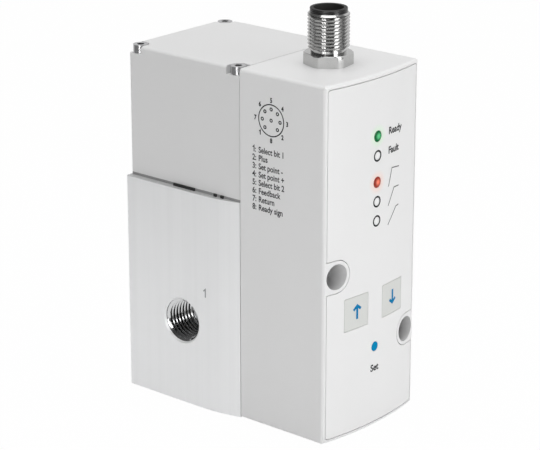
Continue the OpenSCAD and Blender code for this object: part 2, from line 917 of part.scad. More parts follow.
module exhaust_plug() color("silver") on_axis(0) {
    thread_end = plug_h - guide_h;
    spanner_r = 1.2;
    spanner_d = 3;
    spanner_at = (port_dia + plug_dia) / 4;
    o_ring_seat_r = plug_dia / 2 - slip - 2 * o_ring_r - slip;
    stem_groove_r = stem_dia / 2 + 2 * o_ring_r + 2 * slip;
    difference() {
        union() {
            translate([0, 0, plug_recess]) cylinder(r = plug_dia / 2 - slip, h = plug_h - plug_recess);
            cylinder_at(plug_h - cut, guide_z, guide_r);
        }
        cylinder_at(0, thread_end, port_dia / 2);
        cylinder_at(thread_end - cut, guide_z + cut, stem_dia / 2 + slip);
        translate([0, 0, plug_recess])
            cylinder(r1 = port_dia / 2 + port_lead, r2 = port_dia / 2, h = port_lead);
        o_ring_groove_cut(plug_h - guide_h / 2 - o_ring_groove, o_ring_seat_r, plug_dia / 2 + cut);
        o_ring_groove_cut(guide_z - 2 * o_ring_groove, stem_dia / 2 - cut, stem_groove_r);
        for (angle = [0, 180]) rotate([0, 0, angle]) translate([spanner_at, 0, 0])
            cylinder(r = spanner_r, h = plug_recess + spanner_d, $fn = 32);
    }
}

module o_ring_groove_cut(z, inner_r, outer_r) {
    translate([0, 0, z]) difference() {
        cylinder(r = outer_r, h = o_ring_groove);
        translate([0, 0, -cut]) cylinder(r = inner_r, h = o_ring_groove + 2 * cut);
    }
}

module plug_o_ring() color("black")
    on_axis(plug_h - guide_h / 2 - o_ring_groove / 2) o_ring(plug_dia / 2 - slip - o_ring_r, o_ring_r);

module stem_o_ring() color("black")
    on_axis(guide_z - 1.5 * o_ring_groove) o_ring(stem_dia / 2 + slip + o_ring_r, o_ring_r);

module poppet() color("goldenrod") on_axis(0) difference() {
    union() {
        cylinder_at(stem_end_z, relief_z, stem_dia / 2);
        cylinder_at(head_z, lip_z - slip, head_r);
    }
    cylinder_at(stem_end_z - cut, relief_z + cut, exhaust_dia / 2);
    translate([0, 0, lip_z - seal_t]) difference() {
        cylinder(r = seal_out_r, h = seal_t + cut);
        translate([0, 0, -cut]) cylinder(r = seal_in_r, h = seal_t + 3 * cut);
    }
}

module poppet_seal() color("black") on_axis(lip_z - seal_t) difference() {
    cylinder(r = seal_out_r, h = seal_t);
    translate([0, 0, -cut]) cylinder(r = seal_in_r, h = seal_t + 2 * cut);
}

module poppet_spring() color("silver") on_axis(plug_h)
    coil_spring(spring_r, spring_wire_r, head_z - plug_h, 5.2, 20, 8);

module relief_seal() color("black") on_axis(relief_z) cylinder(r = relief_seal_r, h = relief_seal_t);

module tappet() color("silver") on_axis(0) {
    head_z0 = relief_z + relief_proud;
    shoulder_z = block_h - lower_plate_t;
    difference() {
        union() {
            cylinder_at(head_z0, head_z0 + tappet_head_t, tappet_head_r);
            cylinder_at(head_z0, shoulder_z, tappet_r);
            cylinder_at(shoulder_z - tappet_head_t, shoulder_z, tappet_shoulder_r);
            cylinder_at(shoulder_z - cut, rim_z + upper_plate_t + tappet_nut_h + tappet_end, tappet_thread_r);
        }
        cylinder_at(head_z0 - cut, relief_z + relief_seal_t, relief_seal_r);
    }
}

module disc_with_hole(z, r, t) {
    on_axis(z) difference() {
        cylinder(r = r, h = t);
        translate([0, 0, -cut]) cylinder(r = tappet_thread_r + slip, h = t + 2 * cut);
    }
}

module lower_diaphragm_plate() color("silver")
    disc_with_hole(block_h - lower_plate_t, disc_r, lower_plate_t);

module upper_diaphragm_plate() color("silver") disc_with_hole(rim_z, disc_r, upper_plate_t);

module tappet_nut() color("silver") on_axis(rim_z + upper_plate_t) difference() {
    hexagon(tappet_nut_af, tappet_nut_h);
    translate([0, 0, -cut]) cylinder(r = tappet_thread_r + slip, h = tappet_nut_h + 2 * cut);
}

// Half section of the diaphragm: a flat sheet with one rolled convolution between disc and rim
module diaphragm_half() {
    middle_r = (disc_r + diaphragm_dia / 2) / 2;
    translate([tappet_thread_r + slip, 0])
        square([middle_r - convolution_r + diaphragm_t - tappet_thread_r - slip, diaphragm_t]);
    translate([middle_r + convolution_r - diaphragm_t, 0])
        square([plate_dia / 2 - middle_r - convolution_r + diaphragm_t, diaphragm_t]);
    translate([middle_r, 0]) intersection() {
        difference() {
            circle(r = convolution_r);
            circle(r = convolution_r - diaphragm_t);
        }
        translate([-2 * convolution_r, 0]) square([4 * convolution_r, 2 * convolution_r]);
    }
}

module diaphragm() color("dimgray") difference() {
    on_axis(block_h) rotate_extrude() diaphragm_half();
    at_plate_screws() translate([0, 0, block_h - cut]) cylinder(r = m25[3] + slip, h = diaphragm_t + 2 * cut);
    on_axis(block_h - cut) rotate([0, 0, 135]) translate([plate_screw_pitch_r, 0, 0])
        cylinder(r = pilot_feed_r, h = diaphragm_t + 2 * cut);
}

// Pilot plate and pilot valves

module pilot_plate() color("lightgray") difference() {
    on_axis(rim_z) cylinder(r = plate_dia / 2, h = plate_t);
    on_axis(rim_z - cut) cylinder(r = diaphragm_dia / 2, h = pilot_recess_d + cut);
    at_plate_screws() translate([0, 0, rim_z - cut]) cylinder(r = m25[3] + slip, h = plate_t + 2 * cut);
    on_axis(rim_z - cut) rotate([0, 0, 135]) translate([plate_screw_pitch_r, 0, 0])
        cylinder(r = pilot_feed_r, h = plate_t / 2 + cut);
    for (side = [-1, 1]) translate([side * pilot_pitch / 2, pilot_y, rim_z])
        cylinder(r = nozzle_bore_r, h = plate_t + cut, $fn = 24);
    at_sensors() translate([0, 0, plate_z - sensor_nozzle_h - cut])
        cylinder(r = sensor_nozzle_r + slip, h = sensor_nozzle_h + 2 * cut);
}

module pilot_plate_screws() color("silver")
    at_plate_screws() translate([0, 0, plate_z]) cap_screw(m25, plate_t + diaphragm_t + thread_in - cut);

module at_pilot(side, z) {
    translate([side * pilot_pitch / 2, pilot_y, z]) children();
}

module pilot_base_block(side) color("ivory") at_pilot(side, plate_z) difference() {
    block_on(pilot_base);
    translate([0, 0, pilot_base.z - pilot_pocket_d]) difference() {
        cylinder(r = pilot_pocket_r, h = pilot_pocket_d + cut);
        translate([0, 0, -cut]) cylinder(r = nozzle_r, h = nozzle_h + cut, $fn = 32);
    }
    translate([0, 0, -cut]) cylinder(r = nozzle_bore_r, h = pilot_base.z + cut, $fn = 24);
}

module pilot_coil(side) color("peru") at_pilot(side, pilot_base_z) difference() {
    union() {
        cylinder(r = coil_r, h = coil_h);
        for (z = [0, coil_h - coil_flange_t]) cylinder_at(z, z + coil_flange_t, coil_flange_r);
    }
    translate([0, 0, -cut]) cylinder(r = armature_r + slip, h = coil_h + 2 * cut);
}

module pilot_frame(side) color("slategray") at_pilot(side, 0) difference() {
    inner = coil_flange_r + frame_gap;
    outer = inner + frame_t;
    translate([0, 0, pilot_base_z]) block_on([frame_w, 2 * outer, coil_h + frame_t]);
    translate([0, 0, pilot_base_z - cut]) block_on([frame_w + 2 * cut, 2 * inner, coil_h + cut]);
    translate([0, 0, frame_z - cut]) cylinder(r = armature_r + slip, h = frame_t + 2 * cut);
}

module pilot_core(side) color("silver") at_pilot(side, 0) {
    cylinder_at(core_z, frame_z + frame_t, armature_r);
    cylinder_at(frame_z + frame_t, frame_z + 2 * frame_t, armature_r + frame_t);
}

module pilot_armature(side) color("silver") at_pilot(side, nozzle_z) difference() {
    cylinder(r = armature_r, h = armature_l);
    cylinder_at(armature_l - armature_pocket_d, armature_l + cut, armature_pocket_r);
}

module pilot_spring(side) color("silver") {
    floor_z = nozzle_z + armature_l - armature_pocket_d;
    at_pilot(side, floor_z) coil_spring(armature_spring_r, armature_wire_r, core_z - floor_z, 5.2, 14, 6);
}

module fill_pilot_base() pilot_base_block(-1);
module fill_pilot_coil() pilot_coil(-1);
module fill_pilot_frame() pilot_frame(-1);
module fill_pilot_core() pilot_core(-1);
module fill_armature() pilot_armature(-1);
module fill_armature_spring() pilot_spring(-1);
module vent_pilot_base() pilot_base_block(1);
module vent_pilot_coil() pilot_coil(1);
module vent_pilot_frame() pilot_frame(1);
module vent_pilot_core() pilot_core(1);
module vent_armature() pilot_armature(1);
module vent_armature_spring() pilot_spring(1);

// Sensors and their wiring

module at_sensors() {
    for (x = [-sensor_x, sensor_x]) translate([x, axis_y - sensor_in, 0]) children();
}

module pressure_sensors() color("silver") at_sensors() {
    translate([0, 0, plate_z]) cylinder(r = sensor_r, h = sensor_h);
    translate([0, 0, plate_z - sensor_nozzle_h]) cylinder(r = sensor_nozzle_r, h = sensor_nozzle_h + cut);
}

module sensor_board() color("darkgreen")
    translate([0, axis_y - sensor_in, sensor_board_z]) block_on(sensor_board_size);

module pilot_ribbon() color("whitesmoke") {
    ribbon_y0 = board_back_y + header.y;
    ribbon_y1 = axis_y - sensor_in + ribbon_lap / 2;
    translate([ribbon_x - ribbon_w / 2, ribbon_y0, ribbon_z])
        cube([ribbon_w, ribbon_y1 - ribbon_y0, ribbon_t]);
}

// Pilot cover

module cover_plan() {
    intersection() {
        translate([-body_w / 2, rear_y]) square([body_w, back_y - rear_y]);
        translate([0, back_y - total_d]) rounded_square(body_w, 2 * total_d, edge_r);
    }
}

module cover_outer() {
    intersection() {
        translate([0, 0, cover_z]) linear_extrude(body_h - cover_z) cover_plan();
        prism_y(rear_y, back_y) rounded_square(body_w, 2 * body_h, edge_r);
        prism_x(-body_w / 2, body_w / 2) translate([back_y - total_d, 0])
            rounded_square(2 * total_d, 2 * body_h, edge_r);
    }
}

// One corner of the cover, at the back right, as an outline with its inner corner rounded
module corner_square(w, r) {
    translate([body_w / 2 - w + r, back_y - w]) square([w - r, w]);
    translate([body_w / 2 - w, back_y - w + r]) square([w, w - r]);
    translate([body_w / 2 - w + r, back_y - w + r]) circle(r = r);
}

module cover_corners(w, r) {
    middle_y = (rear_y + back_y) / 2;
    for (mx = [0, 1], my = [0, 1])
        translate([0, middle_y]) mirror([0, my]) mirror([mx, 0])
            translate([0, -middle_y]) corner_square(w, r);
}

// What the cover leaves open inside, seen from above
module cover_hollow() {
    difference() {
        translate([-body_w / 2 + wall, rear_y + wall])
            square([body_w - 2 * wall, back_y - rear_y - 2 * wall]);
        cover_corners(notch_w, notch_r);
    }
    translate([0, axis_y]) circle(r = plate_dia / 2 + plate_gap);
}

module pilot_cover() color("gainsboro") difference() {
    cover_outer();
    translate([0, 0, cover_z - cut]) linear_extrude(body_h - wall - cover_z + cut) cover_hollow();
    translate([0, 0, body_h - notch_d]) linear_extrude(notch_d + cut) cover_corners(notch_w, notch_r);
    at_cover_screws() translate([0, 0, cover_z - cut]) cylinder(r = m25[3] + slip, h = body_h);
    prism_y(rear_y - cut, rear_y + wall + cut) window_outline(0);
    prism_y(rear_y - cut, rear_y + window_seal_t) window_outline(window_seal_w);
}

module cover_gasket() color("black") translate([0, 0, block_h]) linear_extrude(gasket_t) difference() {
    union() {
        cover_plan();
        for (tab = tabs) translate([-body_w / 2 - tab_reach, rear_y + tab[0]])
            square([body_w + 2 * tab_reach, tab[1] - tab[0]]);
    }
    cover_hollow();
    at_cover_screws() circle(r = m25[3] + slip);
}

module cover_screws() color("silver")
    at_cover_screws() translate([0, 0, body_h - notch_d])
        cap_screw(m25, body_h - notch_d - block_h + thread_in - cut);

module window_seal() color("black") prism_y(seam_y, rear_y + window_seal_t) difference() {
    window_outline(window_seal_w - slip);
    window_outline(0);
}

front_housing();
front_panel();
up_button();
down_button();
edit_button();
up_switch_plunger();
down_switch_plunger();
edit_switch_plunger();
key_switches();
power_lamp_lens();
error_lamp_lens();
fast_lamp_lens();
medium_lamp_lens();
slow_lamp_lens();
lamp_chips();
control_board();
board_components();
board_screws();
housing_screws();
connector_shell();
connector_insert();
connector_pins();
connector_seal();
connector_nut();
connector_lead();
valve_block();
exhaust_plug();
plug_o_ring();
stem_o_ring();
poppet();
poppet_seal();
poppet_spring();
tappet();
relief_seal();
lower_diaphragm_plate();
upper_diaphragm_plate();
tappet_nut();
diaphragm();
pilot_plate();
pilot_plate_screws();
fill_pilot_base();
fill_pilot_coil();
fill_pilot_frame();
fill_pilot_core();
fill_armature();
fill_armature_spring();
vent_pilot_base();
vent_pilot_coil();
vent_pilot_frame();
vent_pilot_core();
vent_armature();
vent_armature_spring();
pressure_sensors();
sensor_board();
pilot_ribbon();
pilot_cover();
cover_gasket();
cover_screws();
window_seal();
mounting_sleeves();
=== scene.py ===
"""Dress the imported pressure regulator: finishes, threads, printed marks, lamps, light and camera.

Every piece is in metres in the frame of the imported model: +Z up, -Y out of the control panel.
"""

import logging
import math
from dataclasses import dataclass, field
from enum import Enum
from typing import Any, Callable, Iterable, Mapping, Optional, Sequence, Union

import bmesh
import bpy
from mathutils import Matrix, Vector


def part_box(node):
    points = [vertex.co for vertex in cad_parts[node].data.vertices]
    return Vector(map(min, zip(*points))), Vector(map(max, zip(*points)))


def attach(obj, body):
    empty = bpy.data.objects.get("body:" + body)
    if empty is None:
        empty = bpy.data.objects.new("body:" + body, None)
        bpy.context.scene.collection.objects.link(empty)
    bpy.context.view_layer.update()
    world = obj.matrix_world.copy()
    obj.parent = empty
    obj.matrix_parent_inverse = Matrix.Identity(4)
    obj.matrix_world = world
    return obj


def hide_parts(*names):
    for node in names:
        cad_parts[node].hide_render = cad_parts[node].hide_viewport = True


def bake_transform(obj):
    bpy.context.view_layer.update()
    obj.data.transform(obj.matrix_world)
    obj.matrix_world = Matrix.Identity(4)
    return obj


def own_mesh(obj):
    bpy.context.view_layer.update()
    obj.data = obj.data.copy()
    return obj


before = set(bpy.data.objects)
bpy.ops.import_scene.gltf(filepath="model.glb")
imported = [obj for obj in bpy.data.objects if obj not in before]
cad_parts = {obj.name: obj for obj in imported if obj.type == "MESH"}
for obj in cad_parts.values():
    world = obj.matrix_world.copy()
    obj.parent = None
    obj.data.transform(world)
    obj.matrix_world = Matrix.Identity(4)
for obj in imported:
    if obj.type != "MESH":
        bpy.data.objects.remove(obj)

LOG = logging.getLogger("regulator")
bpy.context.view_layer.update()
MM = 0.001
WHITE = (1.0, 1.0, 1.0)
NOISE_ROUGHNESS = 0.55
CRISP_DEGREES = 40.0
WELD_GAP_M = 1e-7
GAP_SIDES = 4
CAPITAL_SHARE = 0.69
LETTER_STEPS = 4
SHARPEST_MITRE = 0.3

Number = Union[int, float]
Point2 = tuple[float, float]
Triple = tuple[float, float, float]
Colour = Triple
Outline = Sequence[Point2]
Ring = Callable[[float], Point2]


class Body(Enum):
    """The rigid bodies that pieces ride on."""

    REGULATOR = "regulator"
    UP_KEY = "up_key"
    DOWN_KEY = "down_key"
    POPPET = "poppet_group"
    TAPPET = "tappet_group"


class Slot(Enum):
    """Material slot names that go with the added pieces."""

    INK = "black_plastic"
    PANEL = "panel"
    BLUE_INK = "blue_key"
    NICKEL = "nickel"
    BARE_METAL = "turned_aluminium"
    STEEL = "steel"
    RUBBER = "rubber"


# Shader building


class Wire:
    """One output in a node tree, with arithmetic that adds Math nodes."""

    def __init__(self, graph: "Graph", socket: bpy.types.NodeSocket) -> None:
        """Wrap a socket of a graph."""
        self.graph = graph
        self.socket = socket

    def __add__(self, other: "Value") -> "Wire":
        """Sum."""
        return self.graph.math("ADD", self, other)

    def __radd__(self, other: "Value") -> "Wire":
        """Sum with a number on the left."""
        return self.graph.math("ADD", other, self)

    def __sub__(self, other: "Value") -> "Wire":
        """Difference."""
        return self.graph.math("SUBTRACT", self, other)

    def __rsub__(self, other: "Value") -> "Wire":
        """Difference from a number on the left."""
        return self.graph.math("SUBTRACT", other, self)

    def __mul__(self, other: "Value") -> "Wire":
        """Product."""
        return self.graph.math("MULTIPLY", self, other)

    def __rmul__(self, other: "Value") -> "Wire":
        """Product with a number on the left."""
        return self.graph.math("MULTIPLY", other, self)

    def __truediv__(self, other: "Value") -> "Wire":
        """Quotient."""
        return self.graph.math("DIVIDE", self, other)

    def __pow__(self, other: "Value") -> "Wire":
        """Power."""
        return self.graph.math("POWER", self, other)


Value = Union[Wire, Number, Sequence[float]]


class Graph:
    """The node tree of one material or world."""

    def __init__(self, owner: Union[bpy.types.Material, bpy.types.World]) -> None:
        """Switch the owner to nodes and clear them.

        Args:
            owner: The material or world whose tree is built.
        """
        owner.use_nodes = True
        self.tree = owner.node_tree
        self.tree.nodes.clear()

    def node(
        self,
        kind: str,
        settings: Optional[Mapping[str, Any]] = None,
        inputs: Optional[Mapping[Union[str, int], Value]] = None,
        output: Union[str, int] = 0,
    ) -> Wire:
        """Add any node.

        Args:
            kind: The node's type name.
            settings: Properties that are set first; "stops" fills a colour ramp.
            inputs: Values or links of its sockets, by name or index.
            output: The socket that is returned.

        Returns:
            The chosen output.
        """
        made = self.tree.nodes.new(kind)
        for key, value in (settings or {}).items():
            if key == "stops":
                self._set_stops(made.color_ramp, value)
            else:
                setattr(made, key, value)
        for key, value in (inputs or {}).items():
            self.feed(made.inputs[key], value)
        return Wire(self, made.outputs[output] if len(made.outputs) else made.inputs[0])

    def feed(self, socket: bpy.types.NodeSocket, value: Value) -> None:
        """Link a wire to a socket, or set the socket to a plain value.

        Args:
            socket: The input that is fed.
            value: The wire, number or colour; a colour without alpha is opaque.
        """
        if isinstance(value, Wire):
            self.tree.links.new(value.socket, socket)
        elif isinstance(value, (int, float)):
            socket.default_value = value
        else:
            size = len(socket.default_value)
            socket.default_value = tuple(value) + (1.0,) * (size - len(value))

    @staticmethod
    def _set_stops(ramp: bpy.types.ColorRamp, stops: Sequence[tuple[float, Colour]]) -> None:
        """Fill a colour ramp.

        Args:
            ramp: The ramp.
            stops: Its (place, colour) pairs in order.
        """
        while len(ramp.elements) < len(stops):
            ramp.elements.new(1.0)
        for element, (place, colour) in zip(ramp.elements, stops):
            element.position = place
            element.color = (*colour, 1.0)

    def math(self, operation: str, first: Value, second: Value = 0.0) -> Wire:
        """Add a Math node on two values."""
        return self.node("ShaderNodeMath", {"operation": operation}, {0: first, 1: second})

    def vector(self, operation: str, first: Value, second: Value) -> Wire:
        """Add a Vector Math node on two vectors."""
        return self.node("ShaderNodeVectorMath", {"operation": operation}, {0: first, 1: second})

    def blend(self, factor: Value, first: Value, second: Value) -> Wire:
        """Mix two colours."""
        inputs = {0: factor, 6: first, 7: second}
        return self.node("ShaderNodeMix", {"data_type": "RGBA"}, inputs, 2)

    def place_mm(self) -> Wire:
        """The shaded point in the part's frame, in millimetres."""
        place = self.node("ShaderNodeTexCoord", output="Object")
        return self.vector("MULTIPLY", place, (1 / MM, 1 / MM, 1 / MM))

    def noise(self, place: Wire, per_mm: Triple, detail: float) -> Wire:
        """Noise from 0 to 1 with its own fineness along each axis.

        Args:
            place: Where it is read, in millimetres.
            per_mm: Its cells per millimetre along each axis.
            detail: How many finer layers it has.

        Returns:
            The noise.
        """
        inputs = {
            "Vector": self.vector("MULTIPLY", place, per_mm),
            "Scale": 1.0,
            "Detail": detail,
            "Roughness": NOISE_ROUGHNESS,
        }
        return self.node("ShaderNodeTexNoise", {}, inputs, "Fac")

    def along(self, place: Wire, axis: str) -> Wire:
        """One part of a place: X, Y or Z."""
        return self.node("ShaderNodeSeparateXYZ", {}, {0: place}, axis)

    def distance(self, place: Wire, centre: Triple, axes: Triple) -> Wire:
        """Distance from a centre, in the unit of the place.

        Args:
            place: The point that is measured.
            centre: Where the distance is 0.
            axes: 1 for each axis that counts, else 0.

        Returns:
            The distance.
        """
        offset = self.vector("SUBTRACT", place, centre)
        flat = self.vector("MULTIPLY", offset, axes)
        return self.node("ShaderNodeVectorMath", {"operation": "LENGTH"}, {0: flat}, "Value")

    def off_axis(self, place: Wire, centre: Point2) -> Wire:
        """Distance from the line along Y that runs through a point across and up."""
        return self.distance(place, (centre[0], 0.0, centre[1]), (1.0, 0.0, 1.0))

    def fade(self, value: Wire, start: float, end: float) -> Wire:
        """1 at start falling smoothly to 0 at end."""
        inputs = {"Value": value, 1: start, 2: end, 3: 1.0, 4: 0.0}
        return self.node("ShaderNodeMapRange", {"interpolation_type": "SMOOTHSTEP"}, inputs)

    def bump(self, height: Wire, depth_mm: float) -> Wire:
        """A normal roughened by a height field of a given depth."""
        inputs = {"Height": height, "Distance": depth_mm * MM, "Strength": 1.0}
        return self.node("ShaderNodeBump", {}, inputs)

    def surface(self, inputs: Mapping[str, Value]) -> None:
        """Finish the tree with a Principled shader."""
        shader = self.node("ShaderNodeBsdfPrincipled", {}, inputs)
        self.node("ShaderNodeOutputMaterial", {}, {"Surface": shader})


# Finishes


@dataclass(frozen=True)
class Finish:
    """What every finish has: a name and a colour."""

    name: str
    colour: Colour

    def shade(self, graph: Graph) -> None:
        """Build the finish's nodes in a graph."""
        raise NotImplementedError

    def material(self) -> bpy.types.Material:
        """The finish as a material, made once.

        Returns:
            The material of this name.
        """
        found = bpy.data.materials.get(self.name)
        if found is None:
            found = bpy.data.materials.new(self.name)
            self.shade(Graph(found))
        return found

    def tinted(self, graph: Graph, amount: Value, change: float) -> Wire:
        """The colour made lighter and darker.

        Args:
            graph: The material's tree.
            amount: 0 where it is darkest, 1 where it is lightest.
            change: The share by which it changes either way.

        Returns:
            The changed colour.
        """
        low = tuple(channel * (1 - change) for channel in self.colour)
        high = tuple(min(1.0, channel * (1 + change)) for channel in self.colour)
        return graph.blend(amount, low, high)


@dataclass(frozen=True)
class Halo:
    """Lamp light that a panel scatters around one lamp, painted into the panel's colour."""

    centre: Point2
    colour: Colour
    reach: float
    start: float = 1.4
    strength: float = 0.45


@dataclass(frozen=True)
class Well:
    """A deep hole in a moulding, painted darker towards its bottom as shade."""

    centre: Point2
    radius: float
    mouth_y: float
    depth: float
    edge: float = 0.05


@dataclass(frozen=True)
class MouldedPlastic(Finish):
    """Spark-eroded moulding: fine grain, faint flow marks, soft gloss."""

    roughness: float = 0.45
    grain_per_mm: float = 7.0
    grain_depth: float = 0.012
    specular: float = 0.42
    halos: tuple[Halo, ...] = ()
    wells: tuple[Well, ...] = ()
    # Grey painted deep in wells as shade.
    dust: Colour = (0.45, 0.45, 0.45)
    flow_per_mm: Triple = (0.06, 0.06, 0.03)
    tone_change: float = 0.018

    def shade(self, graph: Graph) -> None:
        """Build the moulding's nodes.

        Args:
            graph: The material's tree.
        """
        place = graph.place_mm()
        flow = graph.noise(place, self.flow_per_mm, 3.0)
        grain = graph.noise(place, (self.grain_per_mm,) * 3, 2.0)
        colour = self.tinted(graph, flow * 0.7 + grain * 0.3, self.tone_change)
        # Painted lamp light: each halo tints the colour around its lamp.
        for halo in self.halos:
            lit = graph.fade(graph.off_axis(place, halo.centre), halo.start, halo.reach)
            colour = graph.blend(lit * halo.strength, colour, halo.colour)
        # Painted shade: each well's wall darkens towards its bottom.
        for well in self.wells:
            away = graph.off_axis(place, well.centre)
            inside = graph.math("LESS_THAN", away, well.radius + well.edge)
            back = graph.along(place, "Y")
            deep = 1.0 - graph.fade(back, well.mouth_y, well.mouth_y + well.depth)
            colour = graph.blend(inside * deep, colour, self.dust)
        graph.surface({
            "Base Color": colour,
            "Roughness": self.roughness + (grain - 0.5) * 0.14 + (flow - 0.5) * 0.06,
            "Specular IOR Level": self.specular,
            "Normal": graph.bump(grain, self.grain_depth),
        })


@dataclass(frozen=True)
class AnodisedMetal(Finish):
    """Drawn and blasted aluminium: satin, with faint lines along the drawing direction."""

    roughness: float = 0.42
    metallic: float = 0.8
    milled_z: float = 1000.0
    milled_share: float = 0.66
    drawn_per_mm: Triple = (2.4, 2.4, 0.012)
    streaks_per_mm: Triple = (0.42, 0.42, 0.006)
    blast_per_mm: Triple = (8.0, 8.0, 8.0)
    clouds_per_mm: Triple = (0.05, 0.05, 0.035)
    tone_change: float = 0.09
    relief: float = 0.006

    def shade(self, graph: Graph) -> None:
        """Build the metal's nodes; the top faces, above a given height, are painted darker as
        shade.

        Args:
            graph: The material's tree.
        """
        place = graph.place_mm()
        drawn = graph.noise(place, self.drawn_per_mm, 3.0)
        streak = graph.noise(place, self.streaks_per_mm, 4.0)
        blast = graph.noise(place, self.blast_per_mm, 2.0)
        cloud = graph.noise(place, self.clouds_per_mm, 2.0)
        shade = streak * 0.45 + drawn * 0.20 + blast * 0.10 + cloud * 0.25
        # Painted shade: the top faces take a darker copy of the colour.
        shaded_top = tuple(channel * self.milled_share for channel in self.colour)
        on_top = graph.math("GREATER_THAN", graph.along(place, "Z"), self.milled_z)
        as_drawn = self.tinted(graph, shade, self.tone_change)
        graph.surface({
            "Base Color": graph.blend(on_top, as_drawn, shaded_top),
            "Metallic": self.metallic,
            "Roughness": self.roughness + (drawn - 0.5) * 0.10 + (blast - 0.5) * 0.12,
            "Normal": graph.bump(drawn * 0.6 + blast * 0.4, self.relief),
        })


@dataclass(frozen=True)
class TurnedMetal(Finish):
    """Machined metal with fine tool marks across one direction."""

    roughness: float = 0.24
    marks_per_mm: Triple = (0.3, 0.3, 14.0)
    mark_depth: float = 0.004
    stains_per_mm: Triple = (0.6, 0.6, 0.6)
    tone_change: float = 0.07

    def shade(self, graph: Graph) -> None:
        """Build the metal's nodes.

        Args:
            graph: The material's tree.
        """
        place = graph.place_mm()
        marks = graph.noise(place, self.marks_per_mm, 2.0)
        stain = graph.noise(place, self.stains_per_mm, 3.0)
        graph.surface({
            "Base Color": self.tinted(graph, marks * 0.5 + stain * 0.5, self.tone_change),
            "Metallic": 1.0,
            "Roughness": self.roughness + (marks - 0.5) * 0.10 + (stain - 0.5) * 0.08,
            "Normal": graph.bump(marks, self.mark_depth),
        })


@dataclass(frozen=True)
class Rubber(Finish):
    """Moulded rubber: matt, a little dusty."""

    roughness: float = 0.62
    dust_per_mm: Triple = (0.9, 0.9, 0.9)
    dust_lift: float = 0.035
    grain_per_mm: Triple = (9.0, 9.0, 9.0)
    grain_depth: float = 0.01

    def shade(self, graph: Graph) -> None:
        """Build the rubber's nodes.

        Args:
            graph: The material's tree.
        """
        place = graph.place_mm()
        dust = graph.noise(place, self.dust_per_mm, 4.0)
        grain = graph.noise(place, self.grain_per_mm, 2.0)
        dusty = tuple(channel + self.dust_lift for channel in self.colour)
        graph.surface({
            "Base Color": graph.blend(dust ** 2.0, self.colour, dusty),
            "Roughness": self.roughness + (dust - 0.5) * 0.2,
            "Normal": graph.bump(grain, self.grain_depth),
        })


@dataclass(frozen=True)
class SheetSeal(Finish):
    """Grey sealing sheet whose tabs, out past the cover's sides, are dark."""

    side_x: float = 1000.0
    tab_colour: Colour = (0.02, 0.02, 0.02)
    roughness: float = 0.7
    fibres_per_mm: Triple = (4.0, 4.0, 4.0)
    fibre_depth: float = 0.01
    tone_change: float = 0.15

    def shade(self, graph: Graph) -> None:
        """Build the sheet's nodes.

        Args:
            graph: The material's tree.
        """
        place = graph.place_mm()
        fibre = graph.noise(place, self.fibres_per_mm, 3.0)
        off_middle = graph.distance(place, (0.0, 0.0, 0.0), (1.0, 0.0, 0.0))
        on_tab = graph.math("GREATER_THAN", off_middle, self.side_x)
        sheet = self.tinted(graph, fibre, self.tone_change)
        graph.surface({
            "Base Color": graph.blend(on_tab, sheet, self.tab_colour),
            "Roughness": self.roughness + (fibre - 0.5) * 0.2,
            "Normal": graph.bump(fibre, self.fibre_depth),
        })


@dataclass(frozen=True)
class LampLens(Finish):
    """Lens of an indicator: lit ones glow from the middle, unlit ones are milky."""

    rim_colour: Colour = (0.6, 0.6, 0.6)
    centre: Point2 = (0.0, 0.0)
    radius: float = 1.7
    glow: float = 0.0
    core_off: Point2 = (0.5, -0.1)
    core_shares: Point2 = (0.15, 0.80)
    facets_per_mm: Triple = (2.6, 2.6, 2.6)
    facet_depth: float = 0.01

    def shade(self, graph: Graph) -> None:
        """Build the lens's nodes.

        Args:
            graph: The material's tree.
        """
        place = graph.place_mm()
        core_at = (self.centre[0] + self.core_off[0], self.centre[1] + self.core_off[1])
        facets = graph.noise(place, self.facets_per_mm, 1.0)
        start, end = (share * self.radius for share in self.core_shares)
        core = graph.fade(graph.off_axis(place, core_at), start, end)
        colour = graph.blend(core * (0.75 + 0.25 * facets), self.rim_colour, self.colour)
        inputs: dict[str, Value] = {
            "Base Color": colour,
            "Roughness": 0.22 + facets * 0.08,
            "Specular IOR Level": 0.2,
            "Coat Weight": 0.08,
            "Coat Roughness": 0.06,
            "Normal": graph.bump(facets, self.facet_depth),
        }
        if self.glow > 0:
            inputs["Emission Color"] = colour
            inputs["Emission Strength"] = self.glow
        graph.surface(inputs)


@dataclass(frozen=True)
class PrintInk(Finish):
    """Screen-printed ink: slightly uneven cover."""

    specular: float = 0.12
    roughness: float = 0.52
    cover_per_mm: Triple = (5.0, 5.0, 5.0)
    cover_depth: float = 0.004
    tone_change: float = 0.12

    def shade(self, graph: Graph) -> None:
        """Build the ink's nodes.

        Args:
            graph: The material's tree.
        """
        place = graph.place_mm()
        cover = graph.noise(place, self.cover_per_mm, 2.0)
        graph.surface({
            "Base Color": self.tinted(graph, cover, self.tone_change),
            "Roughness": self.roughness + (cover - 0.5) * 0.12,
            "Specular IOR Level": self.specular,
            "Normal": graph.bump(cover, self.cover_depth),
        })


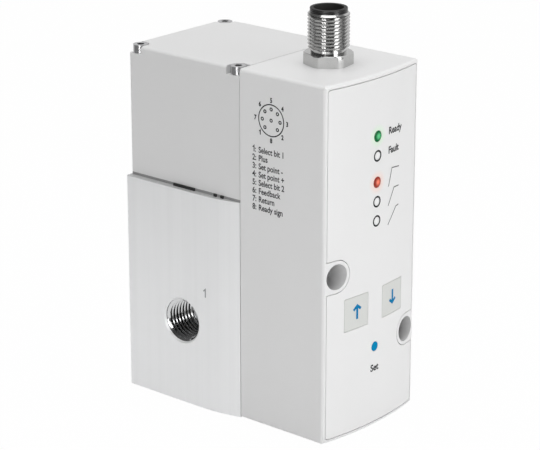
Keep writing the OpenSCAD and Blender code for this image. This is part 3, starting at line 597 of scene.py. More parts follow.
@dataclass(frozen=True)
class CircuitBoard(Finish):
    """Solder mask over copper tracks."""

    track_colour: Colour = (0.06, 0.27, 0.12)
    track_scale: float = 0.35
    track_gap: float = 0.03
    weave_per_mm: Triple = (3.0, 3.0, 3.0)
    tone_change: float = 0.1
    relief: float = 0.02

    def shade(self, graph: Graph) -> None:
        """Build the board's nodes.

        Args:
            graph: The material's tree.
        """
        place = graph.place_mm()
        inputs = {
            "Vector": place,
            "Scale": self.track_scale,
            "Mortar Size": self.track_gap,
            "Color1": WHITE,
            "Color2": (0.8, 0.8, 0.8),
        }
        cells = graph.node("ShaderNodeTexBrick", {"offset": 0.5}, inputs, "Fac")
        weave = graph.noise(place, self.weave_per_mm, 2.0)
        mask = self.tinted(graph, weave, self.tone_change)
        graph.surface({
            "Base Color": graph.blend(cells, mask, self.track_colour),
            "Roughness": 0.32 + weave * 0.1,
            "Normal": graph.bump(cells * 0.7 + weave * 0.3, self.relief),
        })


@dataclass(frozen=True)
class Winding(Finish):
    """Enamelled wire wound on a bobbin."""

    wires_per_mm: float = 5.0
    wave_scale: float = 0.31
    tone_change: float = 0.35
    wire_depth: float = 0.06

    def shade(self, graph: Graph) -> None:
        """Build the winding's nodes.

        Args:
            graph: The material's tree.
        """
        settings = {"wave_type": "BANDS", "bands_direction": "Z", "wave_profile": "SIN"}
        inputs = {
            "Vector": graph.place_mm(),
            "Scale": self.wires_per_mm * self.wave_scale,
            "Distortion": 0.6,
            "Detail": 1.0,
        }
        wires = graph.node("ShaderNodeTexWave", settings, inputs, "Fac")
        graph.surface({
            "Base Color": self.tinted(graph, wires, self.tone_change),
            "Metallic": 0.55,
            "Roughness": 0.36 - wires * 0.1,
            "Normal": graph.bump(wires, self.wire_depth),
        })


# Meshes


def polar(radius: float, angle: float, centre: Point2 = (0.0, 0.0)) -> Point2:
    """The point of a circle at an angle."""
    return (centre[0] + radius * math.cos(angle), centre[1] + radius * math.sin(angle))


def whole_turn(sides: int) -> list[float]:
    """The angles of a whole turn in even steps."""
    return [math.tau * step / sides for step in range(sides)]


def circle(radius: float, height: float) -> Ring:
    """A plain ring of a lathe."""
    return lambda angle: (radius, height)


def band(low: int, high: int, sides: int) -> list[tuple[int, ...]]:
    """Faces between two rings of points.

    Args:
        low: Number of the first ring's first point.
        high: Number of the second ring's first point.
        sides: Points on each ring.

    Returns:
        The faces all the way round.
    """
    faces = []
    for step in range(sides):
        following = (step + 1) % sides
        faces.append((low + step, low + following, high + following, high + step))
    return faces


def link(name: str, data: bpy.types.ID) -> bpy.types.Object:
    """Stand new data in the scene.

    Args:
        name: The object's name.
        data: Its mesh, curve, camera or light.

    Returns:
        The new object.
    """
    made = bpy.data.objects.new(name, data)
    bpy.context.scene.collection.objects.link(made)
    return made


@dataclass
class Shape:
    """Points and faces of a mesh in the making, in millimetres."""

    points: list[Vector] = field(default_factory=list)
    faces: list[tuple[int, ...]] = field(default_factory=list)

    def add(self, points: Iterable[Sequence[float]], faces: Iterable[Sequence[int]]) -> None:
        """Add points and the faces that join them.

        Args:
            points: The new points.
            faces: The new faces, numbered from the first of these points.
        """
        start = len(self.points)
        self.points.extend(Vector(point) for point in points)
        self.faces.extend(tuple(start + index for index in face) for face in faces)

    def lathe(self, rows: Sequence[Ring], sides: int, closed: bool = False) -> None:
        """Add a band of rings about Z.

        Args:
            rows: For each ring, a function from the angle to (radius, height).
            sides: Points on each ring.
            closed: Whether the last ring joins the first.
        """
        points = []
        for row in rows:
            for angle in whole_turn(sides):
                radius, height = row(angle)
                points.append((*polar(radius, angle), height))
        faces = []
        for ring in range(len(rows) if closed else len(rows) - 1):
            faces += band(ring * sides, (ring + 1) % len(rows) * sides, sides)
        self.add(points, faces)

    def helix(
        self,
        form: "ThreadForm",
        start: float,
        end: float,
        sides: int,
        limit: Callable[[float, float], float],
    ) -> None:
        """Add a right-hand screw thread about Z whose faces run along its helix.

        Args:
            form: The thread's profile.
            start: Height of its lower end.
            end: Height of its upper end.
            sides: Faces in each turn.
            limit: A function from height and radius to the radius that the ends allow.
        """
        corners = form.corners()
        turns = range(math.floor(start / form.pitch) - 1, math.ceil(end / form.pitch) + 2)
        rows = [(turn + phase, radius) for turn in turns for phase, radius in corners]
        points = []
        for turn, radius in rows:
            for step, angle in enumerate(whole_turn(sides)):
                height = min(end, max(start, (turn + step / sides) * form.pitch))
                points.append((*polar(limit(height, radius), angle), height))
        faces = []
        for row in range(len(rows) - 1 - len(corners)):
            for step in range(sides):
                at = row * sides + step
                over = (row + len(corners)) * sides if step + 1 == sides else at + 1
                face = (at, over, over + sides, at + sides)
                heights = {points[index][2] for index in face}
                if heights != {start} and heights != {end}:
                    faces.append(face)
        self.add(points, faces)

    def prism(self, centre: Point2, radius: float, low: float, high: float, sides: int) -> None:
        """Add a closed round peg that stands upright.

        Args:
            centre: Its middle.
            radius: Its radius.
            low: Height of its lower end.
            high: Height of its upper end.
            sides: Faces around it.
        """
        points = [
            (*polar(radius, angle, centre), height)
            for height in (low, high)
            for angle in whole_turn(sides)
        ]
        ends = [tuple(reversed(range(sides))), tuple(range(sides, 2 * sides))]
        self.add(points, [*band(0, sides, sides), *ends])

    def coil(self, wind: "WireCoil", height: float) -> None:
        """Add a coil of round wire about Z that stands on the ground.

        Args:
            wind: Its wire and turns.
            height: Its whole height.
        """
        points = []
        count = round(wind.turns * wind.per_turn)
        rising = wind.turns - 2.0 * wind.flat
        for ring in range(count + 1):
            turn = ring / wind.per_turn
            share = min(max(turn - wind.flat, 0.0), rising) / rising
            middle = wind.wire_r + share * (height - 2.0 * wind.wire_r)
            for around in whole_turn(wind.sides):
                reach, rise = polar(wind.wire_r, around, (wind.mean_r, middle))
                points.append((*polar(reach, math.tau * turn), rise))
        faces = []
        for ring in range(count):
            for step in range(wind.sides):
                following = (step + 1) % wind.sides
                low, high = ring * wind.sides, (ring + 1) * wind.sides
                faces.append((low + step, high + step, high + following, low + following))
        first = tuple(range(wind.sides))
        last = tuple(reversed(range(count * wind.sides, (count + 1) * wind.sides)))
        self.add(points, [*faces, first, last])

    def moved(self, move: Callable[[Vector], Vector]) -> "Shape":
        """The same faces on moved points."""
        return Shape([move(point) for point in self.points], list(self.faces))

    def shifted(self, by: Vector) -> "Shape":
        """The same faces, all moved by one step."""
        return self.moved(lambda point: point + by)

    def place(self, name: str) -> bpy.types.Object:
        """Turn the shape into a bare object in the scene.

        Args:
            name: The object's name.

        Returns:
            The new object.
        """
        mesh = bpy.data.meshes.new(name)
        mesh.from_pydata([tuple(point * MM) for point in self.points], [], self.faces)
        mesh.validate()
        mesh.update()
        return link(name, mesh)

    def make(
        self, name: str, finish: Finish, body: Optional[Body], slot: Slot, smooth: bool = True
    ) -> bpy.types.Object:
        """Turn the shape into a dressed piece.

        Args:
            name: The object's name.
            finish: What it is dressed in.
            body: The body that carries it, or None for a piece that no body carries.
            slot: Not used.
            smooth: Whether its faces are shaded smooth.

        Returns:
            The new object.
        """
        made = self.place(name)
        for polygon in made.data.polygons:
            polygon.use_smooth = smooth
        made.data.materials.append(finish.material())
        if body:
            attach(made, body.value)
        carrier = body.value if body else "two bodies"
        LOG.info("made %s with %d faces on %s", name, len(self.faces), carrier)
        return made


@dataclass(frozen=True)
class ThreadForm:
    """A 55 or 60 degree screw thread: its two radii and pitch, in millimetres."""

    major_r: float
    minor_r: float
    pitch: float

    def corners(self) -> tuple[Point2, ...]:
        """The profile's corners in one turn, as (share of the pitch, radius)."""
        low, high = self.minor_r, self.major_r
        return ((0.07, low), (0.43, high), (0.57, high), (0.93, low))

    def end_ring(self, height: float, sides: int, upper: bool) -> Ring:
        """The ring on which a helix of this form ends.

        Args:
            height: Where the helix ends.
            sides: Faces in each turn of the helix.
            upper: Whether that is its upper end.

        Returns:
            A function from the angle to (radius, height).
        """
        corners = self.corners()
        beside = math.tau / sides * (-1 if upper else 1)

        def corner(angle: float) -> float:
            """Radius of the last corner that the helix keeps at an angle.

            Args:
                angle: The angle about the thread's axis.

            Returns:
                The radius.
            """
            phase = (height / self.pitch - angle / math.tau) % 1.0
            if upper:
                past = [radius for share, radius in corners if share >= phase]
            else:
                past = [radius for share, radius in reversed(corners) if share <= phase]
            return past[0] if past else self.minor_r

        return lambda angle: (max(corner(angle), corner(angle + beside)), height)


@dataclass(frozen=True)
class WireCoil:
    """A spring's winding, in millimetres: its mean radius, wire and turns, with flat end turns."""

    mean_r: float
    wire_r: float
    turns: float = 5.2
    flat: float = 0.6
    per_turn: int = 40
    sides: int = 12


def weld(piece: bpy.types.Object) -> None:
    """Join a piece's seams, close the small gaps at its thread's ends and turn its faces outwards.

    Args:
        piece: The piece whose mesh is mended.
    """
    mesh = bmesh.new()
    mesh.from_mesh(piece.data)
    bmesh.ops.remove_doubles(mesh, verts=mesh.verts, dist=WELD_GAP_M)
    bmesh.ops.holes_fill(mesh, edges=mesh.edges, sides=GAP_SIDES)
    bmesh.ops.contextual_create(mesh, geom=[edge for edge in mesh.edges if edge.is_boundary])
    bmesh.ops.recalc_face_normals(mesh, faces=mesh.faces)
    if mesh.calc_volume(signed=True) < 0.0:
        bmesh.ops.reverse_faces(mesh, faces=mesh.faces)
    mesh.to_mesh(piece.data)
    mesh.free()


def sharpen(piece: bpy.types.Object, degrees: float = CRISP_DEGREES) -> None:
    """Keep edges steeper than an angle crisp on a smooth mesh."""
    piece.data.set_sharp_from_angle(angle=math.radians(degrees))


# Printed marks


class Face:
    """A face of the part that takes print."""

    def place(self, across: float, up: float) -> Vector:
        """Where a point of the print lies, in millimetres."""
        raise NotImplementedError


@dataclass(frozen=True)
class BowedFace(Face):
    """The bowed front, printed from outside: across runs to +X."""

    bow_r: float
    front_y: float
    lift: float = 0.02

    def place(self, across: float, up: float) -> Vector:
        """Lay a point on the bow."""
        reach = self.bow_r + self.lift
        return Vector((across, self.front_y + self.bow_r - math.sqrt(reach**2 - across**2), up))


@dataclass(frozen=True)
class SideFace(Face):
    """A flat side, printed from outside: across runs to the reader's right."""

    side_x: float
    lift: float = 0.02

    def place(self, across: float, up: float) -> Vector:
        """Lay a point on the side."""
        outward = math.copysign(1.0, self.side_x)
        return Vector((self.side_x + outward * self.lift, outward * across, up))


class Align(Enum):
    """Which end of a word its place names."""

    LEFT = "LEFT"
    CENTRE = "CENTER"


FIGURES: Mapping[int, Outline] = {
    1: ((-0.20, 0.74), (0.10, 1.0), (0.10, 0.0)),
    2: (
        (-0.28, 0.78), (-0.14, 0.97), (0.10, 0.98), (0.27, 0.80), (0.22, 0.56), (-0.28, 0.0),
        (0.30, 0.0),
    ),
}


@dataclass
class Print:
    """Flat shapes in one ink, gathered before they are laid on a face."""

    shape: Shape = field(default_factory=Shape)

    def ring(self, centre: Point2, inner_r: float, outer_r: float, sides: int = 48) -> None:
        """Add a ring.

        Args:
            centre: Its middle.
            inner_r: Radius of its inner edge.
            outer_r: Radius of its outer edge.
            sides: Points on each edge.
        """
        points = [
            (*polar(radius, angle, centre), 0.0)
            for radius in (inner_r, outer_r)
            for angle in whole_turn(sides)
        ]
        faces = []
        for step in range(sides):
            following = (step + 1) % sides
            faces.append((step, sides + step, sides + following, following))
        self.shape.add(points, faces)

    def stroke(self, path: Outline, width: float, step: float = 0.6) -> None:
        """Add a line of even width with mitred bends.

        Args:
            path: Its ends and bends.
            width: Its width.
            step: The longest piece of it, short enough to follow a bow.
        """
        ends = [Vector(point) for point in path]
        points = ends[:1]
        for start, end in zip(ends, ends[1:]):
            pieces = max(1, math.ceil((end - start).length / step))
            points += [start.lerp(end, (piece + 1) / pieces) for piece in range(pieces)]
        left, right = [], []
        for index, point in enumerate(points):
            before = (point - points[index - 1]).normalized() if index else None
            after = (points[index + 1] - point).normalized() if index + 1 < len(points) else None
            along = ((before or after) + (after or before)).normalized()
            across = Vector((-along.y, along.x))
            edge = before or after
            mitre = max(SHARPEST_MITRE, across.dot(Vector((-edge.y, edge.x))))
            left.append(point + across * (width / 2 / mitre))
            right.append(point - across * (width / 2 / mitre))
        outline = right + left[::-1]
        last = len(points) - 1
        faces = [(i, i + 1, 2 * last - i, 2 * last + 1 - i) for i in range(last)]
        self.shape.add([(point.x, point.y, 0.0) for point in outline], faces)

    def words(
        self,
        text: str,
        at: Point2,
        height: float,
        narrow: float = 0.86,
        align: Align = Align.LEFT,
        bold: float = 0.05,
    ) -> None:
        """Add a line of plain lettering.

        Args:
            text: The letters.
            at: Where the line's start or middle stands.
            height: Height of a capital.
            narrow: Width of the letters against the font's own.
            align: Which end of the line the place names.
            bold: How far the strokes are widened on each side.
        """
        curve = bpy.data.curves.new("lettering", "FONT")
        curve.body = text
        curve.size = height / CAPITAL_SHARE
        curve.offset = bold
        curve.align_x = align.value
        curve.resolution_u = LETTER_STEPS
        holder = link("lettering", curve)
        bpy.context.view_layer.update()
        flat = holder.evaluated_get(bpy.context.evaluated_depsgraph_get()).to_mesh()
        corners = [vertex.co for vertex in flat.vertices]
        points = [(at[0] + corner.x * narrow, at[1] + corner.y, 0.0) for corner in corners]
        self.shape.add(points, [tuple(polygon.vertices) for polygon in flat.polygons])
        bpy.data.objects.remove(holder)
        bpy.data.curves.remove(curve)

    def figure(self, number: int, foot: Point2, height: float, line: float) -> None:
        """Draw a 1 or a 2 in strokes, its middle above a foot."""
        path = [(foot[0] + x * height, foot[1] + y * height) for x, y in FIGURES[number]]
        self.stroke(path, line)

    def lay(self, name: str, face: Face, ink: Finish, body: Body, slot: Slot) -> None:
        """Lay the print on a face as one piece."""
        laid = self.shape.moved(lambda point: face.place(point.x, point.y))
        laid.make(name, ink, body, slot, smooth=False)


# Finishes of this regulator


class Dress:
    """Every finish that the regulator wears."""

    cover = MouldedPlastic("cover_plastic", (0.75, 0.75, 0.75))
    key = MouldedPlastic("key_plastic", (0.66, 0.67, 0.65), 0.5, grain_depth=0.006)
    gap_film = MouldedPlastic("key_gap_film", (0.74, 0.74, 0.735), 0.5, grain_depth=0.004)
    blue_key = MouldedPlastic(
        "blue_key_plastic", (0.0, 0.24, 0.48), 0.5, grain_depth=0.006, specular=0.03
    )
    black_plastic = MouldedPlastic(
        "black_plastic", (0.006, 0.006, 0.006), 0.34, grain_depth=0.004, specular=0.14
    )
    rim_plastic = MouldedPlastic(
        "rim_plastic", (0.014, 0.014, 0.014), 0.24, grain_depth=0.003, specular=0.6
    )
    pale_plastic = MouldedPlastic("bobbin_plastic", (0.74, 0.72, 0.64), 0.5)
    component = MouldedPlastic("component_epoxy", (0.03, 0.03, 0.033), 0.55)
    ribbon = MouldedPlastic("ribbon_film", (0.66, 0.66, 0.66), 0.4, grain_per_mm=2.0)
    chip = MouldedPlastic("lamp_chip", (0.82, 0.76, 0.42), 0.3)
    # The block's top faces, above 66.55 mm, are painted darker as shade.
    anodised = AnodisedMetal(
        "anodised_aluminium", (0.86, 0.865, 0.87), metallic=0.30, milled_z=66.55
    )
    turned = TurnedMetal("turned_aluminium", (0.70, 0.71, 0.72), 0.26)
    bright_thread = TurnedMetal("cut_thread", (0.60, 0.605, 0.61), 0.14, (3.0, 3.0, 3.0), 0.001)
    nickel = TurnedMetal("nickel_plate", (0.57, 0.57, 0.565), 0.14, (0.4, 0.4, 6.0), 0.001)
    steel = TurnedMetal("bright_steel", (0.58, 0.58, 0.59), 0.2)
    brass = TurnedMetal("turned_brass", (0.76, 0.56, 0.25), 0.26)
    gold = TurnedMetal("gold_plate", (0.83, 0.62, 0.26), 0.2)
    rubber = Rubber("seal_rubber", (0.016, 0.016, 0.017))
    board = CircuitBoard("circuit_board", (0.02, 0.15, 0.06))
    winding = Winding("coil_winding", (0.42, 0.17, 0.06))
    dark_ink = PrintInk("dark_ink", (0.02, 0.02, 0.022))
    grey_ink = PrintInk("grey_ink", (0.11, 0.11, 0.115))
    soft_ink = PrintInk("soft_ink", (0.055, 0.055, 0.057))
    etched = PrintInk("etched_number", (0.36, 0.365, 0.37))
    blue_ink = PrintInk("blue_ink", (0.0, 0.19, 0.42), specular=0.06)

    nodes: Mapping[Finish, tuple[str, ...]] = {
        cover: ("pilot_cover",),
        key: ("up_button", "down_button"),
        blue_key: ("edit_button",),
        black_plastic: (
            "up_switch_plunger", "down_switch_plunger", "edit_switch_plunger", "connector_insert",
            "connector_lead",
        ),
        component: ("key_switches", "board_components"),
        chip: ("lamp_chips",),
        board: ("control_board", "sensor_board"),
        ribbon: ("pilot_ribbon",),
        nickel: ("connector_shell", "connector_nut"),
        gold: ("connector_pins",),
        anodised: ("valve_block",),
        turned: ("exhaust_plug", "lower_diaphragm_plate", "upper_diaphragm_plate", "pilot_plate"),
        brass: ("poppet",),
        rubber: (
            "connector_seal", "plug_o_ring", "stem_o_ring", "poppet_seal", "relief_seal",
            "diaphragm", "window_seal",
        ),
        steel: (
            "board_screws", "housing_screws", "poppet_spring", "tappet", "tappet_nut",
            "pilot_plate_screws", "fill_pilot_frame", "fill_pilot_core", "fill_armature",
            "fill_armature_spring", "vent_pilot_frame", "vent_pilot_core", "vent_armature",
            "vent_armature_spring", "pressure_sensors", "cover_screws", "mounting_sleeves",
        ),
        pale_plastic: ("fill_pilot_base", "vent_pilot_base"),
        winding: ("fill_pilot_coil", "vent_pilot_coil"),
    }

    @staticmethod
    def put_on(node: str, finish: Finish) -> None:
        """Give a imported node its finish.

        Args:
            node: The node's name.
            finish: What it is dressed in.
        """
        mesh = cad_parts[node].data
        mesh.materials.clear()
        mesh.materials.append(finish.material())
        LOG.info("dressed %s in %s", node, finish.name)

    @classmethod
    def put_on_all(cls) -> None:
        """Give every listed node its finish."""
        for finish, nodes in cls.nodes.items():
            for node in nodes:
                cls.put_on(node, finish)


# Sub-assemblies


def box_mm(node: str) -> tuple[Vector, Vector]:
    """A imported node's lowest and highest corners, in millimetres."""
    low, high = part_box(node)
    return low / MM, high / MM


def middle_xz(node: str) -> Point2:
    """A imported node's middle across and up, in millimetres."""
    low, high = box_mm(node)
    return ((low.x + high.x) / 2, (low.z + high.z) / 2)


@dataclass
class CoverGasket:
    """The sheet under the pilot cover, whose tabs show on the block's ledge."""

    grey: float = 0.30
    past_cover: float = 0.02

    def dress(self) -> None:
        """Give the sheet its finish, dark from the cover's sides outwards."""
        side_x = box_mm("pilot_cover")[1].x + self.past_cover
        Dress.put_on("cover_gasket", SheetSeal("cover_gasket_sheet", (self.grey,) * 3, side_x))


@dataclass
class Housing:
    """The front housing with its two screw wells."""

    grey: float = 0.79
    well_r: float = 3.8
    well_depth: float = 5.4
    sleeve_r: float = 3.1

    def dress(self) -> None:
        """Give the housing its moulding, with painted shade deep in the wells."""
        low, high = box_mm("mounting_sleeves")
        places = (
            (low.x + self.sleeve_r, high.z - self.sleeve_r),
            (high.x - self.sleeve_r, low.z + self.sleeve_r),
        )
        mouth_y = low.y - self.well_depth
        wells = tuple(Well(place, self.well_r, mouth_y, self.well_depth) for place in places)
        # The wells get painted shade towards their bottom.
        moulding = MouldedPlastic("moulded_plastic", (self.grey,) * 3, wells=wells)
        Dress.put_on("front_housing", moulding)


@dataclass(frozen=True)
class Lamp:
    """One indicator lamp: its lens node, colours and whether it is lit."""

    node: str
    core: Colour = (0.94, 0.94, 0.94)
    rim: Colour = (0.84, 0.84, 0.84)
    glow: float = 0.0
    halo: Optional[Colour] = None

    def centre(self) -> Point2:
        """Middle of the lens on the panel, in millimetres."""
        return middle_xz(self.node)


@dataclass
class ControlPanel:
    """The bowed panel: lamps with their rings, ramp signs, words and the keys' arrows."""

    grey: float = 0.81
    bow_r: float = 100.0
    lamp_r: float = 1.7
    ring_w: float = 0.5
    halo_reach: float = 4.0
    word_height: float = 2.0
    word_x: float = 5.05
    word_up: float = 0.45
    word_narrow: float = 0.92
    word_bold: float = 0.085
    set_word_drop: float = 6.5
    key_flange_w: float = 0.8
    key_gap: float = 0.12
    gap_edge: float = 0.05
    gap_film_in: float = 0.03
    arrow_height: float = 4.5
    arrow_width: float = 3.0
    arrow_line: float = 0.84
    arrow_right: float = 0.25
    arrow_up: float = 0.15
    barb_drop: float = 0.1
    ramp_line: float = 0.3
    ramp_x: float = 5.4
    ramp_w: float = 5.3
    ramp_foot: float = -2.6
    ramp_top: float = 2.3
    lamps: tuple[Lamp, ...] = (
        Lamp("power_lamp_lens", (0.11, 0.60, 0.24), (0.0, 0.12, 0.03), 0.12, (0.62, 0.95, 0.62)),
        Lamp("error_lamp_lens"),
        Lamp("fast_lamp_lens", (0.95, 0.22, 0.13), (0.26, 0.02, 0.008), 0.12, (1.0, 0.62, 0.50)),
        Lamp("medium_lamp_lens"),
        Lamp("slow_lamp_lens"),
    )
    lamp_words: tuple[str, ...] = ("Ready", "Fault")
    ramp_corners: tuple[Point2, ...] = ((1.6, 2.65), (2.8, 2.3), (3.95, 2.05))

    def face(self, lift: float = BowedFace.lift) -> BowedFace:
        """The panel's printed face, or one a little above or under it."""
        return BowedFace(self.bow_r, box_mm("front_panel")[0].y, lift)

    def dress(self) -> None:
        """Give the panel and the lamps their finishes."""
        halos = tuple(
            Halo(lamp.centre(), lamp.halo, self.halo_reach)
            for lamp in self.lamps
            if lamp.halo is not None
        )
        film = MouldedPlastic("panel_film", (self.grey,) * 3, 0.40, grain_depth=0.005, halos=halos)
        Dress.put_on("front_panel", film)
        for lamp in self.lamps:
            name = lamp.node.replace("_lens", "_light")
            lens = LampLens(name, lamp.core, lamp.rim, lamp.centre(), self.lamp_r, lamp.glow)
            Dress.put_on(lamp.node, lens)

    def build(self) -> None:
        """Print the rings, signs and words."""
        rings = Print()
        for lamp in self.lamps:
            if lamp.halo is None:
                rings.ring(lamp.centre(), self.lamp_r - self.ring_w, self.lamp_r)
        rings.lay("lamp_rings", self.face(), Dress.dark_ink, Body.REGULATOR, Slot.INK)
        self._print_words()
        self._print_ramps()
        self._close_gaps()
        self._print_arrow("up_arrow", "up_button", 1.0, Body.UP_KEY)
        self._print_arrow("down_arrow", "down_button", -1.0, Body.DOWN_KEY)

    def _print_words(self) -> None:
        """Print the words beside the upper lamps and under the round key."""
        words = Print()
        half = self.word_height / 2
        for lamp, text in zip(self.lamps, self.lamp_words):
            place = (self.word_x, lamp.centre()[1] + self.word_up - half)
            words.words(text, place, self.word_height, self.word_narrow, bold=self.word_bold)
        x, z = middle_xz("edit_button")
        place = (x, z - self.set_word_drop - half)
        words.words("Set", place, self.word_height, 1.0, Align.CENTRE, self.word_bold)
        words.lay("panel_words", self.face(), Dress.dark_ink, Body.REGULATOR, Slot.INK)

    def _print_ramps(self) -> None:
        """Print a ramp sign beside each lower lamp, from steep to slow."""
        signs = Print()
        for lamp, (run, rise) in zip(self.lamps[2:], self.ramp_corners):
            z = lamp.centre()[1]
            start = (self.ramp_x, z + self.ramp_foot)
            corner = (self.ramp_x + run, z + rise)
            end = (self.ramp_x + self.ramp_w, z + self.ramp_top)
            signs.stroke((start, corner, end), self.ramp_line)
        signs.lay("ramp_signs", self.face(), Dress.grey_ink, Body.REGULATOR, Slot.INK)

    def _close_gaps(self) -> None:
        """Lay the film that closes the gap around each key, just under the panel's face."""
        film = Print()
        inner, outer = self.gap_edge * self.key_gap, (1 - self.gap_edge) * self.key_gap
        for key in ("up_button", "down_button"):
            low, high = box_mm(key)
            x, z = middle_xz(key)
            half = (high.x - low.x) / 2 - self.key_flange_w + self.key_gap / 2
            signs = ((-1, -1), (1, -1), (1, 1), (-1, 1))
            corners = [(x + across * half, z + up * half) for across, up in signs]
            for start, end in zip(corners, corners[1:] + corners[:1]):
                film.stroke((start, end), outer - inner)
        low, high = box_mm("edit_button")
        radius = (high.x - low.x) / 2 - self.key_flange_w
        film.ring(middle_xz("edit_button"), radius + inner, radius + outer)
        face = self.face(-self.gap_film_in)
        film.lay("key_gap_film", face, Dress.gap_film, Body.REGULATOR, Slot.PANEL)

    def _print_arrow(self, name: str, key: str, up: float, body: Body) -> None:
        """Print an arrow on a key.

        Args:
            name: The piece's name.
            key: The node of the key.
            up: 1 for an arrow that points up, -1 for one that points down.
            body: The body of the key.
        """
        x, z = middle_xz(key)
        x, z = x + self.arrow_right, z + self.arrow_up
        tip, tail = z + up * self.arrow_height / 2, z - up * self.arrow_height / 2
        arm = self.arrow_width / 2
        arrow = Print()
        arrow.stroke(((x, tail), (x, tip - up * self.arrow_line)), self.arrow_line)
        barb = tip - up * (arm + self.barb_drop)
        bend = (x, tip - up * self.arrow_line / 2)
        arrow.stroke(((x - arm, barb), bend, (x + arm, barb)), self.arrow_line)
        arrow.lay(name, self.face(), Dress.blue_ink, body, Slot.BLUE_INK)


@dataclass
class SideMarks:
    """The pin drawing with its list on the housing's left side, and the port numbers."""

    housing_d: float = 30.8
    circle_back: float = 19.2
    circle_z: float = 93.2
    circle_r: float = 4.75
    circle_sides: int = 72
    pin_ring_r: float = 3.25
    pin_mark_r: float = 0.58
    pin_sides: int = 24
    line: float = 0.34
    first_turn: float = 90.0
    number_r: float = 5.85
    number_height: float = 1.3
    number_bold: float = 0.08
    list_back: float = 26.2
    list_top_z: float = 83.9
    list_pitch: float = 2.44
    list_height: float = 1.7
    list_bold: float = 0.06
    list_one_in: float = 0.5
    list_colon_in: float = 0.95
    list_tab: float = 2.3
    list_words: tuple[str, ...] = (
        "Select bit 1", "Plus", "Set point -", "Set point +", "Select bit 2", "Feedback", "Return",
        "Ready sign",
    )
    pin_numbers: tuple[int, ...] = (5, 6, 7, 1, 8, 2, 3, 4)
    centre_pin: int = 8
    port_number_height: float = 2.5
    port_number_line: float = 0.42
    port_number_in: float = 9.4
    port_number_up: float = 9.6

    def build(self) -> None:
        """Print the drawing, the list and the port numbers."""
        housing_low, housing_high = box_mm("front_housing")
        corner_y = housing_high.y - self.housing_d
        self._print_drawing(SideFace(housing_low.x), corner_y)
        self._print_list(SideFace(housing_low.x), corner_y)
        self._print_ports()

    def _print_drawing(self, face: SideFace, corner_y: float) -> None:
        """Print the connector's pin drawing on the left side.

        Args:
            face: The side that takes the print.
            corner_y: The plane of the housing's front corners.
        """
        marks = Print()
        middle = (-(corner_y + self.circle_back), self.circle_z)
        marks.ring(middle, self.circle_r - self.line, self.circle_r, self.circle_sides)
        hole_r = self.pin_mark_r - self.line
        marks.ring(middle, hole_r, self.pin_mark_r, self.pin_sides)
        for index, number in enumerate(self.pin_numbers):
            angle = math.radians(self.first_turn) + math.tau * index / len(self.pin_numbers)
            if number != self.centre_pin:
                pin = polar(self.pin_ring_r, angle, middle)
                marks.ring(pin, hole_r, self.pin_mark_r, self.pin_sides)
            across, up = polar(self.number_r, angle, middle)
            label = (across, up - self.number_height / 2)
            if number == 1:
                marks.figure(number, label, self.number_height, self.line)
            else:
                bold = self.number_bold
                marks.words(str(number), label, self.number_height, align=Align.CENTRE, bold=bold)
        marks.lay("pin_drawing", face, Dress.dark_ink, Body.REGULATOR, Slot.INK)

    def _print_list(self, face: SideFace, corner_y: float) -> None:
        """Print what each pin carries under the drawing.

        Args:
            face: The side that takes the print.
            corner_y: The plane of the housing's front corners.
        """
        lines = Print()
        start = -(corner_y + self.list_back)
        tall, bold = self.list_height, self.list_bold
        for index, text in enumerate(self.list_words):
            height = self.list_top_z - index * self.list_pitch - tall / 2
            if index == 0:
                lines.figure(1, (start + self.list_one_in, height), tall, self.line)
                lines.words(":", (start + self.list_colon_in, height), tall, bold=bold)
            else:
                lines.words(f"{index + 1}:", (start, height), tall, bold=bold)
            lines.words(text, (start + self.list_tab, height), tall, bold=bold)
        lines.lay("pin_list", face, Dress.soft_ink, Body.REGULATOR, Slot.INK)

    def _print_ports(self) -> None:
        """Etch a number beside each side port."""
        for number, thread in zip((1, 2), port_threads()):
            mouth = thread.mouth
            across = math.copysign(1.0, mouth.x) * (mouth.y - self.port_number_in)
            foot = mouth.z + self.port_number_up
            mark = Print()
            mark.figure(number, (across, foot), self.port_number_height, self.port_number_line)
            name = thread.name.replace("thread", "number")
            mark.lay(name, SideFace(mouth.x), Dress.etched, Body.REGULATOR, Slot.INK)


